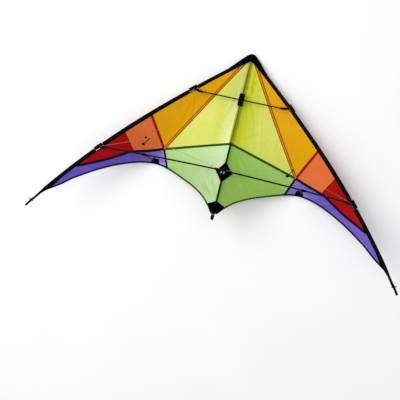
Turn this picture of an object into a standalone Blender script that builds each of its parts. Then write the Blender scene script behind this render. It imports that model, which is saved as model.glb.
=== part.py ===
"""A two-line delta stunt kite, rigged and laid down on its back.

The kite is drawn flat first: x runs across to the right, y towards the nose, z out of the face that
carries the frame, with the tip of the nose at zero. Everything hangs on one empty, which then leans
the kite nose down until the nose and the two standoff feet touch the floor together.
"""

import math

import bmesh
import bpy
import numpy as np
from mathutils import Matrix, Vector

for old in list(bpy.data.objects):
    bpy.data.objects.remove(old, do_unlink=True)

# Driving dimensions, in metres and degrees
LEADING_EDGE_ROD = 0.872  # length from the nose to the wing tip, along the bow
NOSE_ANGLE = 50.3  # the leading edge's angle from the spine at the nose
BOW = (8.0, 12.66)  # how that angle falls along the rod, per metre and per metre squared
LEAN = math.radians(14.3)  # the frame's slope when the kite lies on its nose and feet
FIT = 0.0003  # running gap between pieces that touch

# Rods
SPINE_TOP = -0.0085
SPINE_END = -0.5330
SPINE_RADIUS = 0.0026
EDGE_ROD_START = 0.0120
EDGE_ROD_RADIUS = 0.00275
UPPER_SPREADER_RADIUS = 0.0020
LOWER_SPREADER_RADIUS = 0.0025
STANDOFF_RADIUS = 0.0015
SPREADER_LIFT = 0.0068  # the spreaders pass in front of the spine
UPPER_SPREADER_Y = -0.1447
UPPER_SPREADER_HALF = 0.1395
TEE_Y = -0.3790
LOWER_SPREADER_BOW = 0.012
STANDOFF_CLIP_X = 0.2587

# Nose patch and leading-edge sleeves
NOSE_HALF_THICK = 0.0055
NOSE_FRONT = 0.0093
NOSE_OUTER = ((0.0090, 0.0250, 0.0400, 0.0500, 0.0580), (-0.0086, -0.0092, -0.0080, -0.0062, -0.0046))
NOSE_ARM = NOSE_OUTER[0][-1]  # how far it runs down each leading edge
NOSE_APEX = -0.0135  # its blunt inner corner, on the spine
SLEEVE_FLAP = 0.0074  # from the rod's axis to the sleeve's sewn edge
SLEEVE_TIP_FLAP = 0.0050
SLEEVE_RADIUS = 0.0040
SLEEVE_HALF_FLAP = 0.0006
SLEEVE_START = NOSE_ARM + 0.0008
SLEEVE_TAPER_AT = 0.7930
SLEEVE_END = 0.8110

# Fittings, caps and clips
UPPER_FITTING_AT = 0.2116  # along the leading edge
LOWER_FITTING_AT = 0.5717
COLLAR_HALF = 0.0142
COLLAR_RADIUS = 0.0064
COLLAR_OUT = 0.0012  # the collar's body lies this far outside the rod's axis
ARM_RADIUS = 0.00375
WINDOW_LENGTH = 0.0290
WINDOW_WIDTH = 0.0136
NOCK = (0.8400, 0.8745, 0.0037)  # start, end and radius
NOCK_COLLAR = (0.8465, 0.8505, 0.0050)
TAIL_CAP = (-0.5172, -0.5385, 0.0050)
SPINE_SLEEVE = (-0.0148, -0.2860, 0.0034)
CLIP_LENGTH = 0.041
CLIP_WIDTH = 0.017
STANDOFF_CLIP_RADIUS = 0.0042
FOOT_RADIUS = 0.0036
FOOT_ABOVE = 0.0080

# Cloth
CLOTH = 0.001
SEAM_GAP = 0.0005
SHARP_CORNER = 0.006  # sharp corners are left off this far from their point

# Sail depth behind the frame, pushed out by the standoffs
RIDGE = 0.70  # where the sail is deepest, from 0 at the spine to 1 at the leading edge
DEPTH = 0.106
FOOT_REACH = 0.454  # distance of the standoff feet from the nose
BELLY = 0.6  # how much of the cloth's run from the spine to the ridge is curved
SOFTNESS = 9.0  # how sharp the fold along the ridge is

# Corners of the panels on the right wing
GREEN_SEAM = (0.0, -0.288)
JUNCTION = (0.2215, -0.3383)
CORNER_M = (0.3145, -0.3745)
VIOLET_DIP = (0.3480, -0.3960)
VIOLET_MID = (0.4010, -0.4305)
CORNER_K = (0.1975, -0.3985)
TAIL_CORNER = (0.0, -0.5185)
NOSE_SEAM_AT = 0.0345
GOLDEN_ORANGE_AT = 0.3720
ORANGE_RED_AT = 0.4770
RED_VIOLET_AT = 0.6660
SAIL_END_AT = 0.7920
NOSE_SEAM_BOW = -0.0033
STANDOFF_HOLE = (0.2430, -0.3825)

# Bridle
TOW_POINT = (0.218, -0.359, 0.167)
TOW_KNOT = 0.0034
PIGTAIL = (-0.0110, -0.0260, 0.0200)
LINE_RADIUS = 0.0006

parts = bpy.data.collections.new("stunt_kite")
cutters = bpy.data.collections.new("cutters")
bpy.context.scene.collection.children.link(parts)
bpy.context.scene.collection.children.link(cutters)

kite = bpy.data.objects.new("kite", None)
bpy.context.scene.collection.objects.link(kite)
kite.rotation_euler = (-LEAN, 0.0, 0.0)


def finish(name, colour, roughness, metallic=0.0):
    """A Principled material of one colour."""
    made = bpy.data.materials.new(name)
    made.use_nodes = True
    shader = made.node_tree.nodes["Principled BSDF"]
    shader.inputs["Base Color"].default_value = (*colour, 1.0)
    shader.inputs["Roughness"].default_value = roughness
    shader.inputs["Metallic"].default_value = metallic
    return made


def place(obj, material, home=parts):
    """Puts an object on the kite, in the parts or, as a helper, in the cutters."""
    for known in list(obj.users_collection):
        known.objects.unlink(obj)
    home.objects.link(obj)
    obj.parent = kite
    if material is not None:
        obj.data.materials.clear()
        obj.data.materials.append(material)
    if home is cutters:
        obj.hide_render = True
        obj.display_type = "WIRE"
    return obj


def as_mesh(obj):
    """A curve object turned into a mesh object with its caps welded on."""
    bpy.context.view_layer.update()
    depsgraph = bpy.context.evaluated_depsgraph_get()
    mesh = bpy.data.meshes.new_from_object(obj.evaluated_get(depsgraph))
    shell = bmesh.new()
    shell.from_mesh(mesh)
    bmesh.ops.remove_doubles(shell, verts=shell.verts, dist=1e-6)
    bmesh.ops.recalc_face_normals(shell, faces=shell.faces)
    shell.to_mesh(mesh)
    shell.free()
    name, home = obj.name, obj.users_collection[0]
    material = obj.data.materials[0] if obj.data.materials else None
    bpy.data.objects.remove(obj, do_unlink=True)
    mesh.name = name
    made = bpy.data.objects.new(name, mesh)
    home.objects.link(made)
    return place(made, material, home)


def rod(name, points, radius, material, home=parts, resolution=2):
    """A round bar of one radius along points, with flat ends."""
    curve = bpy.data.curves.new(name, "CURVE")
    curve.dimensions = "3D"
    curve.twist_mode = "MINIMUM"
    curve.bevel_depth = radius
    curve.bevel_resolution = resolution
    curve.use_fill_caps = True
    spline = curve.splines.new("POLY")
    spline.points.add(len(points) - 1)
    for point, where in zip(spline.points, points):
        point.co = (*where, 1.0)
    obj = bpy.data.objects.new(name, curve)
    home.objects.link(obj)
    return as_mesh(place(obj, material, home))


def plate(name, outline, low, high, edge, material, home=parts):
    """A flat outline with thickness and rounded edges, between two heights."""
    curve = bpy.data.curves.new(name, "CURVE")
    curve.dimensions = "2D"
    curve.fill_mode = "BOTH"
    curve.extrude = (high - low) / 2 - edge
    curve.bevel_depth = edge
    curve.bevel_resolution = 1
    curve.offset = -edge
    spline = curve.splines.new("POLY")
    spline.points.add(len(outline) - 1)
    for point, (x, y) in zip(spline.points, outline):
        point.co = (x, y, 0.0, 1.0)
    spline.use_cyclic_u = True
    obj = bpy.data.objects.new(name, curve)
    home.objects.link(obj)
    obj = as_mesh(place(obj, material, home))
    obj.data.transform(Matrix.Translation((0.0, 0.0, (high + low) / 2)))
    return obj


def ball(name, centre, radius, material, home=parts):
    bpy.ops.mesh.primitive_uv_sphere_add(segments=12, ring_count=8, radius=radius)
    obj = bpy.context.object
    obj.name = name
    obj.data.transform(Matrix.Translation(centre))
    return place(obj, material, home)


def combine(obj, operation, other):
    """A Boolean of two pieces; the second one is a helper."""
    change = obj.modifiers.new(operation.lower(), "BOOLEAN")
    change.operation = operation
    change.solver = "EXACT"
    change.object = other


# Shape of the leading edge: a rod bowed by the pull of the sail
along = np.linspace(0.0, LEADING_EDGE_ROD + 0.01, 1000)
heading = np.radians(NOSE_ANGLE - BOW[0] * along - BOW[1] * along**2)
step = along[1] - along[0]
edge_x = np.concatenate([[0.0], np.cumsum((np.sin(heading[1:]) + np.sin(heading[:-1])) * step / 2)])
edge_y = -np.concatenate([[0.0], np.cumsum((np.cos(heading[1:]) + np.cos(heading[:-1])) * step / 2)])
edge_reach = np.hypot(edge_x, edge_y)
edge_angle = np.arctan2(edge_x, -edge_y)
edge_angle[0] = edge_angle[1]


def edge_point(s, inward=0.0):
    """Points s along the right leading edge, moved inward in the frame's plane, as (x, y)."""
    turn = np.interp(s, along, heading)
    x = np.interp(s, along, edge_x) - inward * np.cos(turn)
    y = np.interp(s, along, edge_y) - inward * np.sin(turn)
    return np.stack([x, y], axis=-1)


def sail_height(x, y):
    """Height of the sail: a tent with its soft ridge between the nose and the standoff's foot.

    The share across from the spine to the leading edge sets the tent's profile, which bellies out
    on its way to the ridge, and the distance from the nose its depth. Along the spine the cloth lies
    a little behind the rod.
    """
    x = np.abs(x)
    reach = np.hypot(x, y)
    share = np.clip(np.arctan2(x, -y) / np.interp(reach, edge_reach, edge_angle), 0.0, 1.0)
    inner = share / RIDGE
    inner = (1.0 - BELLY) * inner + BELLY * np.sin(0.5 * np.pi * np.minimum(inner, 1.0))
    outer = (1.0 - share) / (1.0 - RIDGE)
    tent = -np.log(np.exp(-SOFTNESS * inner) + np.exp(-SOFTNESS * outer)) / SOFTNESS
    depth = DEPTH * np.where(
        reach < FOOT_REACH,
        (reach / FOOT_REACH) ** 2,
        (FOOT_REACH / np.maximum(reach, FOOT_REACH)) ** 0.5,
    )
    behind_spine = 0.0045 + 0.0027 * np.clip(-y / 0.2, 0.0, 1.0)
    return -depth * np.maximum(tent, 0.0) - behind_spine * (1.0 - share)


def straight(a, b, count):
    t = np.linspace(0.0, 1.0, count)[:, None]
    return (1.0 - t) * np.asarray(a) + t * np.asarray(b)


def smooth(points, count):
    """A Catmull-Rom curve through points, sampled at even distances."""
    points = np.asarray(points, float)
    held = np.vstack([2 * points[0] - points[1], points, 2 * points[-1] - points[-2]])
    t = np.linspace(0.0, 1.0, 24, endpoint=False)[:, None]
    runs = []
    for a, b, c, d in zip(held[:-3], held[1:-2], held[2:-1], held[3:]):
        runs.append(
            b + 0.5 * (c - a) * t + (a - 2.5 * b + 2 * c - 0.5 * d) * t**2
            + (1.5 * b - 0.5 * a - 1.5 * c + 0.5 * d) * t**3
        )
    return evenly(np.vstack(runs + [points[-1:]]), count)


def evenly(line, count):
    """The same line with count points at even distances."""
    far = np.concatenate([[0.0], np.cumsum(np.linalg.norm(np.diff(line, axis=0), axis=1))])
    at = np.linspace(0.0, far[-1], count)
    return np.stack([np.interp(at, far, line[:, k]) for k in range(2)], axis=-1)


def resample(line, count):
    return evenly(np.asarray(line), count)


def trim_start(line, length):
    """A line without its first length."""
    fine = evenly(np.asarray(line), 400)
    far = np.linalg.norm(fine - fine[0], axis=1)
    return fine[far >= length]


def sleeve_edge(start, end, count):
    return edge_point(np.linspace(start, end, count), SLEEVE_FLAP + SEAM_GAP / 2)


def below_nose(reach, gap):
    """The nose patch's inner side from the spine to reach along the edge, moved out by gap."""
    flank = edge_point(np.linspace(0.0, reach, 400), SLEEVE_FLAP + gap)
    flank = evenly(flank[flank[:, 1] < NOSE_APEX - gap], 5)
    return np.vstack([[[0.0, NOSE_APEX - gap]], flank])


# Seams of the right wing, each from its inner or upper end
nose_start = sleeve_edge(NOSE_SEAM_AT, NOSE_SEAM_AT, 1)[0]
nose_out = (np.asarray(JUNCTION) + nose_start) / 2
nose_out = nose_out + NOSE_SEAM_BOW * np.array([0.836, 0.548])
NOSE_SEAM = smooth([nose_start, nose_out, JUNCTION], 15)
CROSS_SEAM = straight(GREEN_SEAM, JUNCTION, 11)
GOLDEN_SEAM = straight(JUNCTION, sleeve_edge(GOLDEN_ORANGE_AT, GOLDEN_ORANGE_AT, 1)[0], 7)
RED_SEAM = straight(CORNER_M, sleeve_edge(ORANGE_RED_AT, ORANGE_RED_AT, 1)[0], 7)
red_end = sleeve_edge(RED_VIOLET_AT, RED_VIOLET_AT, 1)[0]
violet_line = smooth([JUNCTION, CORNER_M, VIOLET_DIP, VIOLET_MID, red_end], 200)
split = int(np.argmin(np.linalg.norm(violet_line - np.asarray(CORNER_M), axis=1)))
violet_line[split] = CORNER_M
VIOLET_SEAM_IN = evenly(violet_line[: split + 1], 7)
VIOLET_SEAM_OUT = evenly(violet_line[split:], 11)
INNER_SEAM = straight(JUNCTION, CORNER_K, 5)
INNER_TRAILING_EDGE = smooth(
    [TAIL_CORNER, (0.0095, -0.5155), (0.0285, -0.4940), (0.0550, -0.4683), (0.0945, -0.4428),
     (0.1525, -0.4165), CORNER_K], 13)
OUTER_TRAILING_EDGE = smooth(
    [CORNER_K, (0.2430, -0.3905), (0.3000, -0.4050), (0.3815, -0.4465), (0.4660, -0.5040),
     (0.5070, -0.5385), sleeve_edge(SAIL_END_AT, SAIL_END_AT, 1)[0]], 200)


def inset(sides, gap):
    """Four sides of a patch, in order round it, moved inward by gap with mitred corners."""
    loop = np.vstack([side[:-1] for side in sides])
    area = np.sum(loop[:, 0] * np.roll(loop[:, 1], -1) - loop[:, 1] * np.roll(loop[:, 0], -1))
    turn = 1.0 if area > 0 else -1.0

    def normals(side):
        run = np.gradient(side, axis=0)
        run /= np.linalg.norm(run, axis=1)[:, None]
        return turn * np.stack([-run[:, 1], run[:, 0]], axis=-1)

    facing = [normals(side) for side in sides]
    moved = [side + gap * n for side, n in zip(sides, facing)]
    for k in range(4):
        after = (k + 1) % 4
        n1, n2 = facing[k][-1], facing[after][0]
        corner = sides[k][-1] + gap * (n1 + n2) / (1.0 + n1 @ n2)
        moved[k][-1] = corner
        moved[after][0] = corner
    return moved


def patch_grid(lower, right, upper, left):
    """A Coons patch inside four sides: lower and upper run alike, and so do left and right."""
    u = np.linspace(0.0, 1.0, len(lower))[:, None, None]
    v = np.linspace(0.0, 1.0, len(left))[None, :, None]
    ruled_up = (1 - v) * lower[:, None] + v * upper[:, None]
    ruled_across = (1 - u) * left[None] + u * right[None]
    corners = (
        (1 - u) * (1 - v) * lower[0] + u * (1 - v) * lower[-1]
        + (1 - u) * v * upper[0] + u * v * upper[-1]
    )
    return ruled_up + ruled_across - corners


def cloth_piece(name, sides, side, material, lift=0.0, gap=SEAM_GAP / 2, home=parts):
    """A panel of cloth inside four sides given in order round it, laid on the sail's surface."""
    a, b, c, d = inset(sides, gap)
    flat = patch_grid(a, b, c[::-1], d[::-1])
    rows, columns = flat.shape[:2]
    height = sail_height(flat[..., 0], flat[..., 1]) + lift
    shell = bmesh.new()
    verts = [
        [shell.verts.new((side * flat[i, j, 0], flat[i, j, 1], height[i, j])) for j in range(columns)]
        for i in range(rows)
    ]
    for i in range(rows - 1):
        for j in range(columns - 1):
            shell.faces.new((verts[i][j], verts[i + 1][j], verts[i + 1][j + 1], verts[i][j + 1]))
    shell.normal_update()
    facing = sum(face.normal.z * face.calc_area() for face in shell.faces)
    if facing < 0:
        bmesh.ops.reverse_faces(shell, faces=shell.faces)
    mesh = bpy.data.meshes.new(name)
    shell.to_mesh(mesh)
    shell.free()
    mesh.shade_smooth()
    obj = place(bpy.data.objects.new(name, mesh), material, home)
    thick = obj.modifiers.new("cloth", "SOLIDIFY")
    thick.thickness = CLOTH
    thick.offset = 0.0
    thick.use_even_offset = False
    return obj


# Colours of the cloth and of the frame
BLACK_CLOTH = finish("black_webbing", (0.012, 0.012, 0.014), 0.75)
BLACK_RUBBER = finish("black_rubber", (0.010, 0.010, 0.011), 0.55)
DARK_ROD = finish("dark_rod", (0.020, 0.022, 0.020), 0.30)
SPINE_CLOTH = finish("spine_cloth", (0.28, 0.26, 0.01), 0.60)
LINE = finish("bridle_line", (0.45, 0.45, 0.43), 0.70)
SAIL = {
    "yellow_green": finish("yellow_green_cloth", (0.60, 0.70, 0.13), 0.50),
    "golden": finish("golden_cloth", (0.80, 0.42, 0.01), 0.50),
    "orange": finish("orange_cloth", (0.72, 0.17, 0.05), 0.50),
    "red": finish("red_cloth", (0.42, 0.01, 0.02), 0.50),
    "violet": finish("violet_cloth", (0.17, 0.11, 0.52), 0.50),
    "light_green": finish("light_green_cloth", (0.38, 0.60, 0.22), 0.50),
}
SIDES = {"left": -1.0, "right": 1.0}


def sail_panels(word, side):
    """The six panels of one wing."""
    top = below_nose(NOSE_SEAM_AT, SEAM_GAP / 2)
    cloth_piece(
        f"yellow_green_panel_{word}",
        [straight(top[0], GREEN_SEAM, 15), resample(CROSS_SEAM, 6), NOSE_SEAM[::-1], top[::-1]],
        side, SAIL["yellow_green"],
    )
    inner = evenly(trim_start(NOSE_SEAM, SHARP_CORNER), 15)
    outer = sleeve_edge(NOSE_SEAM_AT + SHARP_CORNER, GOLDEN_ORANGE_AT, 15)
    cloth_piece(
        f"golden_panel_{word}",
        [inner, GOLDEN_SEAM, outer[::-1], straight(outer[0], inner[0], 7)],
        side, SAIL["golden"],
    )
    upper = sleeve_edge(GOLDEN_ORANGE_AT, ORANGE_RED_AT, 7)
    cloth_piece(
        f"orange_panel_{word}",
        [VIOLET_SEAM_IN, RED_SEAM, upper[::-1], GOLDEN_SEAM[::-1]],
        side, SAIL["orange"],
    )
    lower = evenly(trim_start(VIOLET_SEAM_OUT[::-1], SHARP_CORNER)[::-1], 11)
    upper = sleeve_edge(ORANGE_RED_AT, RED_VIOLET_AT - SHARP_CORNER, 11)
    cloth_piece(
        f"red_panel_{word}",
        [lower, straight(lower[-1], upper[-1], 7), upper[::-1], RED_SEAM[::-1]],
        side, SAIL["red"],
    )
    far_side = sleeve_edge(RED_VIOLET_AT, SAIL_END_AT - SHARP_CORNER, 40)
    upper = evenly(np.vstack([violet_line, far_side[1:]]), 41)
    lower = evenly(trim_start(OUTER_TRAILING_EDGE[::-1], SHARP_CORNER)[::-1], 41)
    violet = cloth_piece(
        f"violet_panel_{word}",
        [lower, straight(lower[-1], upper[-1], 7), upper[::-1], resample(INNER_SEAM, 7)],
        side, SAIL["violet"],
    )
    cloth_piece(
        f"light_green_panel_{word}",
        [INNER_TRAILING_EDGE, INNER_SEAM[::-1], resample(CROSS_SEAM[::-1], 13),
         straight(GREEN_SEAM, TAIL_CORNER, 5)],
        side, SAIL["light_green"],
    )
    return violet


# The floor's upward direction, seen from the kite
FLOOR_UP = Vector((0.0, -math.sin(LEAN), math.cos(LEAN)))


def black_patches(word, side, violet):
    """The reinforcement on the trailing edge, with the hole that the standoff's foot sits in."""
    hole = Vector((side * STANDOFF_HOLE[0], STANDOFF_HOLE[1]))
    near = OUTER_TRAILING_EDGE[
        (OUTER_TRAILING_EDGE[:, 0] > 0.2275) & (OUTER_TRAILING_EDGE[:, 0] < 0.2600)
    ]
    lower = evenly(near, 7)
    upper = straight((0.2345, -0.3735), (0.2520, -0.3735), 7)
    patch = cloth_piece(
        f"trailing_edge_patch_{word}",
        [lower, straight(lower[-1], upper[-1], 4), upper[::-1], straight(upper[0], lower[0], 4)],
        side, BLACK_CLOTH, lift=0.0025,
    )
    height = float(sail_height(np.array(hole.x), np.array(hole.y)))
    across = FLOOR_UP * 0.02
    middle = Vector((hole.x, hole.y, height))
    cutter = rod(f"foot_hole_{word}", [middle - across, middle + across], 0.0040, None, cutters)
    combine(patch, "DIFFERENCE", cutter)
    combine(violet, "DIFFERENCE", cutter)
    return middle


def edge_path(start, end, count, side, inward=0.0):
    """Points along a leading edge as (x, y, z)."""
    flat = edge_point(np.linspace(start, end, count), inward)
    return [(side * x, y, 0.0) for x, y in flat]


def leading_edge(word, side):
    """The rod in its sleeve: a doubled strip of heavy cloth round the rod, cut open at the fittings."""
    rod(f"leading_edge_rod_{word}", edge_path(EDGE_ROD_START, LEADING_EDGE_ROD, 29, side),
        EDGE_ROD_RADIUS, DARK_ROD)
    stations = np.append(np.linspace(SLEEVE_START, SLEEVE_TAPER_AT, 28), SLEEVE_END)
    width = np.interp(stations, (SLEEVE_TAPER_AT, SLEEVE_END), (SLEEVE_FLAP, SLEEVE_TIP_FLAP))
    turn = np.interp(stations, along, heading)
    axis = edge_point(stations)
    flap = edge_point(stations, width)
    drop = sail_height(flap[:, 0], flap[:, 1])
    shell = bmesh.new()
    rings = []
    for k in range(len(stations)):
        inward = Vector((-side * math.cos(turn[k]), -math.sin(turn[k]), 0.0))
        down = inward * width[k] + Vector((0.0, 0.0, drop[k]))
        along_flap = down.normalized()
        tangent = Vector((side * math.sin(turn[k]), -math.cos(turn[k]), 0.0))
        normal = tangent.cross(along_flap) * side
        centre = Vector((side * axis[k, 0], axis[k, 1], 0.0))
        ring = [centre + down + normal * SLEEVE_HALF_FLAP]
        for angle in np.radians(np.linspace(40.0, 320.0, 9)):
            ring.append(
                centre + SLEEVE_RADIUS * (along_flap * math.cos(angle) + normal * math.sin(angle))
            )
        ring.append(centre + down - normal * SLEEVE_HALF_FLAP)
        rings.append([shell.verts.new(point) for point in ring])
    count = len(rings[0])
    for ring, following in zip(rings[:-1], rings[1:]):
        for j in range(count):
            after = (j + 1) % count
            shell.faces.new((ring[j], ring[after], following[after], following[j]))
    shell.faces.new(rings[0])
    shell.faces.new(rings[-1])
    bmesh.ops.recalc_face_normals(shell, faces=shell.faces)
    mesh = bpy.data.meshes.new(f"leading_edge_sleeve_{word}")
    shell.to_mesh(mesh)
    shell.free()
    sleeve = place(bpy.data.objects.new(mesh.name, mesh), BLACK_CLOTH)
    bore = rod(f"sleeve_bore_{word}", edge_path(0.030, LEADING_EDGE_ROD, 31, side),
               EDGE_ROD_RADIUS + FIT, None, cutters)
    combine(sleeve, "DIFFERENCE", bore)
    for place_word, at in (("upper", UPPER_FITTING_AT), ("lower", LOWER_FITTING_AT)):
        bpy.ops.mesh.primitive_cube_add(size=1.0)
        box = bpy.context.object
        box.name = f"{place_word}_window_{word}"
        here = edge_point(at, -COLLAR_OUT)
        box.data.transform(Matrix.Diagonal((WINDOW_WIDTH, WINDOW_LENGTH, 0.0200, 1.0)))
        angle = float(np.interp(at, along, heading))
        box.data.transform(Matrix.Rotation(side * angle, 4, "Z"))
        box.data.transform(Matrix.Translation((side * here[0], here[1], 0.0)))
        place(box, None, cutters)
        combine(sleeve, "DIFFERENCE", box)


def wing_tip(word, side):
    """The nock on the rod's bare end, with the collar that the tip line hooks over."""
    start, end, radius = NOCK
    nock = rod(f"wing_tip_nock_{word}", edge_path(start, end, 3, side), radius, BLACK_RUBBER,
               resolution=3)
    start, end, radius = NOCK_COLLAR
    collar = rod(f"nock_collar_{word}", edge_path(start, end, 2, side), radius, None, cutters,
                 resolution=3)
    bore = rod(f"nock_bore_{word}", edge_path(0.830, LEADING_EDGE_ROD + FIT, 3, side),
               EDGE_ROD_RADIUS + FIT, None, cutters)
    combine(nock, "UNION", collar)
    combine(nock, "DIFFERENCE", bore)


def spreader_fitting(name, at, arm, socket, radius, side):
    """A rubber fitting: a collar round the leading edge with a socket arm for the spreader."""
    obj = rod(name, edge_path(at - COLLAR_HALF, at + COLLAR_HALF, 3, side, -COLLAR_OUT),
              COLLAR_RADIUS, BLACK_RUBBER, resolution=3)
    helper = rod(f"{name}_arm", [(side * x, y, z) for x, y, z in arm], ARM_RADIUS, None, cutters,
                 resolution=3)
    edge_bore = rod(f"{name}_edge_bore", edge_path(at - 0.02, at + 0.02, 3, side),
                    EDGE_ROD_RADIUS + FIT, None, cutters)
    socket_bore = rod(f"{name}_socket", [(side * x, y, z) for x, y, z in socket], radius + FIT,
                      None, cutters)
    combine(obj, "UNION", helper)
    combine(obj, "DIFFERENCE", edge_bore)
    combine(obj, "DIFFERENCE", socket_bore)


def upper_fitting(word, side):
    start = edge_point(UPPER_FITTING_AT)
    arm = smooth([start, (0.1460, -0.1422), (0.1370, -0.1442), (0.1280, UPPER_SPREADER_Y)], 7)
    arm = [(x, y, SPREADER_LIFT) for x, y in arm]
    socket = [(x, UPPER_SPREADER_Y, SPREADER_LIFT) for x in (0.1400, 0.1200)]
    spreader_fitting(f"upper_fitting_{word}", UPPER_FITTING_AT, arm, socket,
                     UPPER_SPREADER_RADIUS, side)


def lower_spreader_line(x):
    """The lower spreader's axis, bowed forward by the standoff, as (x, y, z)."""
    end = edge_point(LOWER_FITTING_AT)
    y = TEE_Y + (end[1] - TEE_Y) * x / end[0]
    return x, y, SPREADER_LIFT + LOWER_SPREADER_BOW * math.sin(math.pi * x / end[0])


def lower_fitting(word, side):
    end_x = float(edge_point(LOWER_FITTING_AT)[0])
    arm = [lower_spreader_line(end_x - back) for back in (0.0010, 0.0135, 0.0270)]
    socket = [lower_spreader_line(end_x - back) for back in (0.0120, 0.0200, 0.0340)]
    spreader_fitting(f"lower_fitting_{word}", LOWER_FITTING_AT, arm, socket,
                     LOWER_SPREADER_RADIUS, side)


def lower_spreader(word, side):
    end_x = float(edge_point(LOWER_FITTING_AT)[0])
    stops = np.linspace(0.0070, end_x - 0.0130, 15)
    line = [lower_spreader_line(x) for x in stops]
    rod(f"lower_spreader_{word}", [(side * x, y, z) for x, y, z in line],
        LOWER_SPREADER_RADIUS, DARK_ROD)


def standoff(word, side, hole):
    """The strut that pushes the trailing edge back, its clip on the spreader and its rubber foot."""
    x, y, z = lower_spreader_line(STANDOFF_CLIP_X)
    top = Vector((side * x, y, z))
    aim = (hole - top).normalized()
    before = lower_spreader_line(STANDOFF_CLIP_X - 0.0075)
    after = lower_spreader_line(STANDOFF_CLIP_X + 0.0075)
    wide_before = lower_spreader_line(STANDOFF_CLIP_X - 0.0150)
    wide_after = lower_spreader_line(STANDOFF_CLIP_X + 0.0150)

    def over(point):
        return (side * point[0], point[1], point[2])

    clip = rod(f"standoff_clip_{word}", [over(before), over((x, y, z)), over(after)],
               STANDOFF_CLIP_RADIUS, BLACK_RUBBER, resolution=3)
    socket = rod(f"clip_socket_{word}", [top, top + aim * 0.0170], 0.0032, None, cutters, resolution=3)
    bore = rod(f"clip_bore_{word}", [over(wide_before), over((x, y, z)), over(wide_after)],
               LOWER_SPREADER_RADIUS + FIT, None, cutters)
    strut_bore = rod(f"clip_strut_bore_{word}", [top + aim * 0.0050, top + aim * 0.0250],
                     STANDOFF_RADIUS + FIT, None, cutters)
    combine(clip, "UNION", socket)
    combine(clip, "DIFFERENCE", bore)
    combine(clip, "DIFFERENCE", strut_bore)
    strut_end = hole - aim * 0.0015
    rod(f"standoff_{word}", [top + aim * 0.0053, strut_end], STANDOFF_RADIUS, DARK_ROD)
    floor_here = -NOSE_HALF_THICK + (hole.y - NOSE_FRONT) * math.tan(LEAN)
    below = (hole.z - floor_here) * math.cos(LEAN)
    foot = rod(f"standoff_foot_{word}", [hole - FLOOR_UP * below, hole + FLOOR_UP * FOOT_ABOVE],
               FOOT_RADIUS, BLACK_RUBBER, resolution=3)
    foot_bore = rod(f"foot_bore_{word}", [strut_end + aim * FIT, strut_end - aim * 0.0250],
                    STANDOFF_RADIUS + FIT, None, cutters)
    combine(foot, "DIFFERENCE", foot_bore)


def nose_patch():
    """Heavy webbing folded over the ends of the rods, open where the rods go in."""
    outer = edge_point(*np.array(NOSE_OUTER))
    inner = below_nose(NOSE_ARM, 0.0)[::-1]
    crown = smooth([(0.0, NOSE_FRONT), (0.0062, 0.0078), outer[0]], 5)[:-1]
    half = np.vstack([crown, outer, inner])
    outline = np.vstack([half, half[1:-1][::-1] * np.array([-1.0, 1.0])])
    obj = plate("nose_patch", outline, -NOSE_HALF_THICK, NOSE_HALF_THICK, 0.0012, BLACK_CLOTH)
    for word, side in SIDES.items():
        bore = rod(f"nose_bore_{word}", edge_path(0.0117, 0.0800, 4, side), EDGE_ROD_RADIUS + FIT,
                   None, cutters)
        combine(obj, "DIFFERENCE", bore)
    spine_bore = rod("nose_spine_bore", [(0.0, SPINE_TOP + FIT, 0.0), (0.0, -0.05, 0.0)],
                     SPINE_RADIUS + FIT, None, cutters)
    combine(obj, "DIFFERENCE", spine_bore)


def spine():
    rod("spine", [(0.0, SPINE_TOP, 0.0), (0.0, SPINE_END, 0.0)], SPINE_RADIUS, DARK_ROD)
    top, bottom, radius = SPINE_SLEEVE
    sleeve = rod("spine_sleeve", [(0.0, top, 0.0), (0.0, bottom, 0.0)], radius, SPINE_CLOTH)
    bore = rod("spine_sleeve_bore", [(0.0, 0.0, 0.0), (0.0, -0.3, 0.0)], SPINE_RADIUS + FIT, None,
               cutters)
    combine(sleeve, "DIFFERENCE", bore)
    top, bottom, radius = TAIL_CAP
    cap = rod("tail_cap", [(0.0, top, 0.0), (0.0, bottom, 0.0)], radius, BLACK_RUBBER, resolution=3)
    cap_bore = rod("tail_cap_bore", [(0.0, -0.5, 0.0), (0.0, SPINE_END - FIT, 0.0)],
                   SPINE_RADIUS + FIT, None, cutters)
    combine(cap, "DIFFERENCE", cap_bore)


def spine_clip():
    """The keeper at the crossing: it snaps over the spine and the upper spreader runs through it."""
    half_wide, half_long, round_off = CLIP_WIDTH / 2, CLIP_LENGTH / 2, 0.0035
    outline = []
    for corner in range(4):
        for turn in (0.0, 30.0, 60.0, 90.0):
            angle = math.radians(90.0 * corner + turn)
            x = (half_wide - round_off) * (1 if corner in (0, 3) else -1)
            y = (half_long - round_off) * (1 if corner in (0, 1) else -1)
            outline.append((x + round_off * math.cos(angle),
                            UPPER_SPREADER_Y + y + round_off * math.sin(angle)))
    obj = plate("spine_clip", outline, -0.0010, 0.0108, 0.0012, BLACK_RUBBER)
    channel = rod("clip_channel", [(0.0, -0.10, 0.0), (0.0, -0.19, 0.0)],
                  SPINE_SLEEVE[2] + FIT, None, cutters)
    crossing = rod("clip_crossing", [(-0.03, UPPER_SPREADER_Y, SPREADER_LIFT),
                                     (0.03, UPPER_SPREADER_Y, SPREADER_LIFT)],
                   UPPER_SPREADER_RADIUS + FIT, None, cutters)
    combine(obj, "DIFFERENCE", channel)
    combine(obj, "DIFFERENCE", crossing)
    rod("upper_spreader", [(-UPPER_SPREADER_HALF, UPPER_SPREADER_Y, SPREADER_LIFT),
                           (UPPER_SPREADER_HALF, UPPER_SPREADER_Y, SPREADER_LIFT)],
        UPPER_SPREADER_RADIUS, DARK_ROD)


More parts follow.
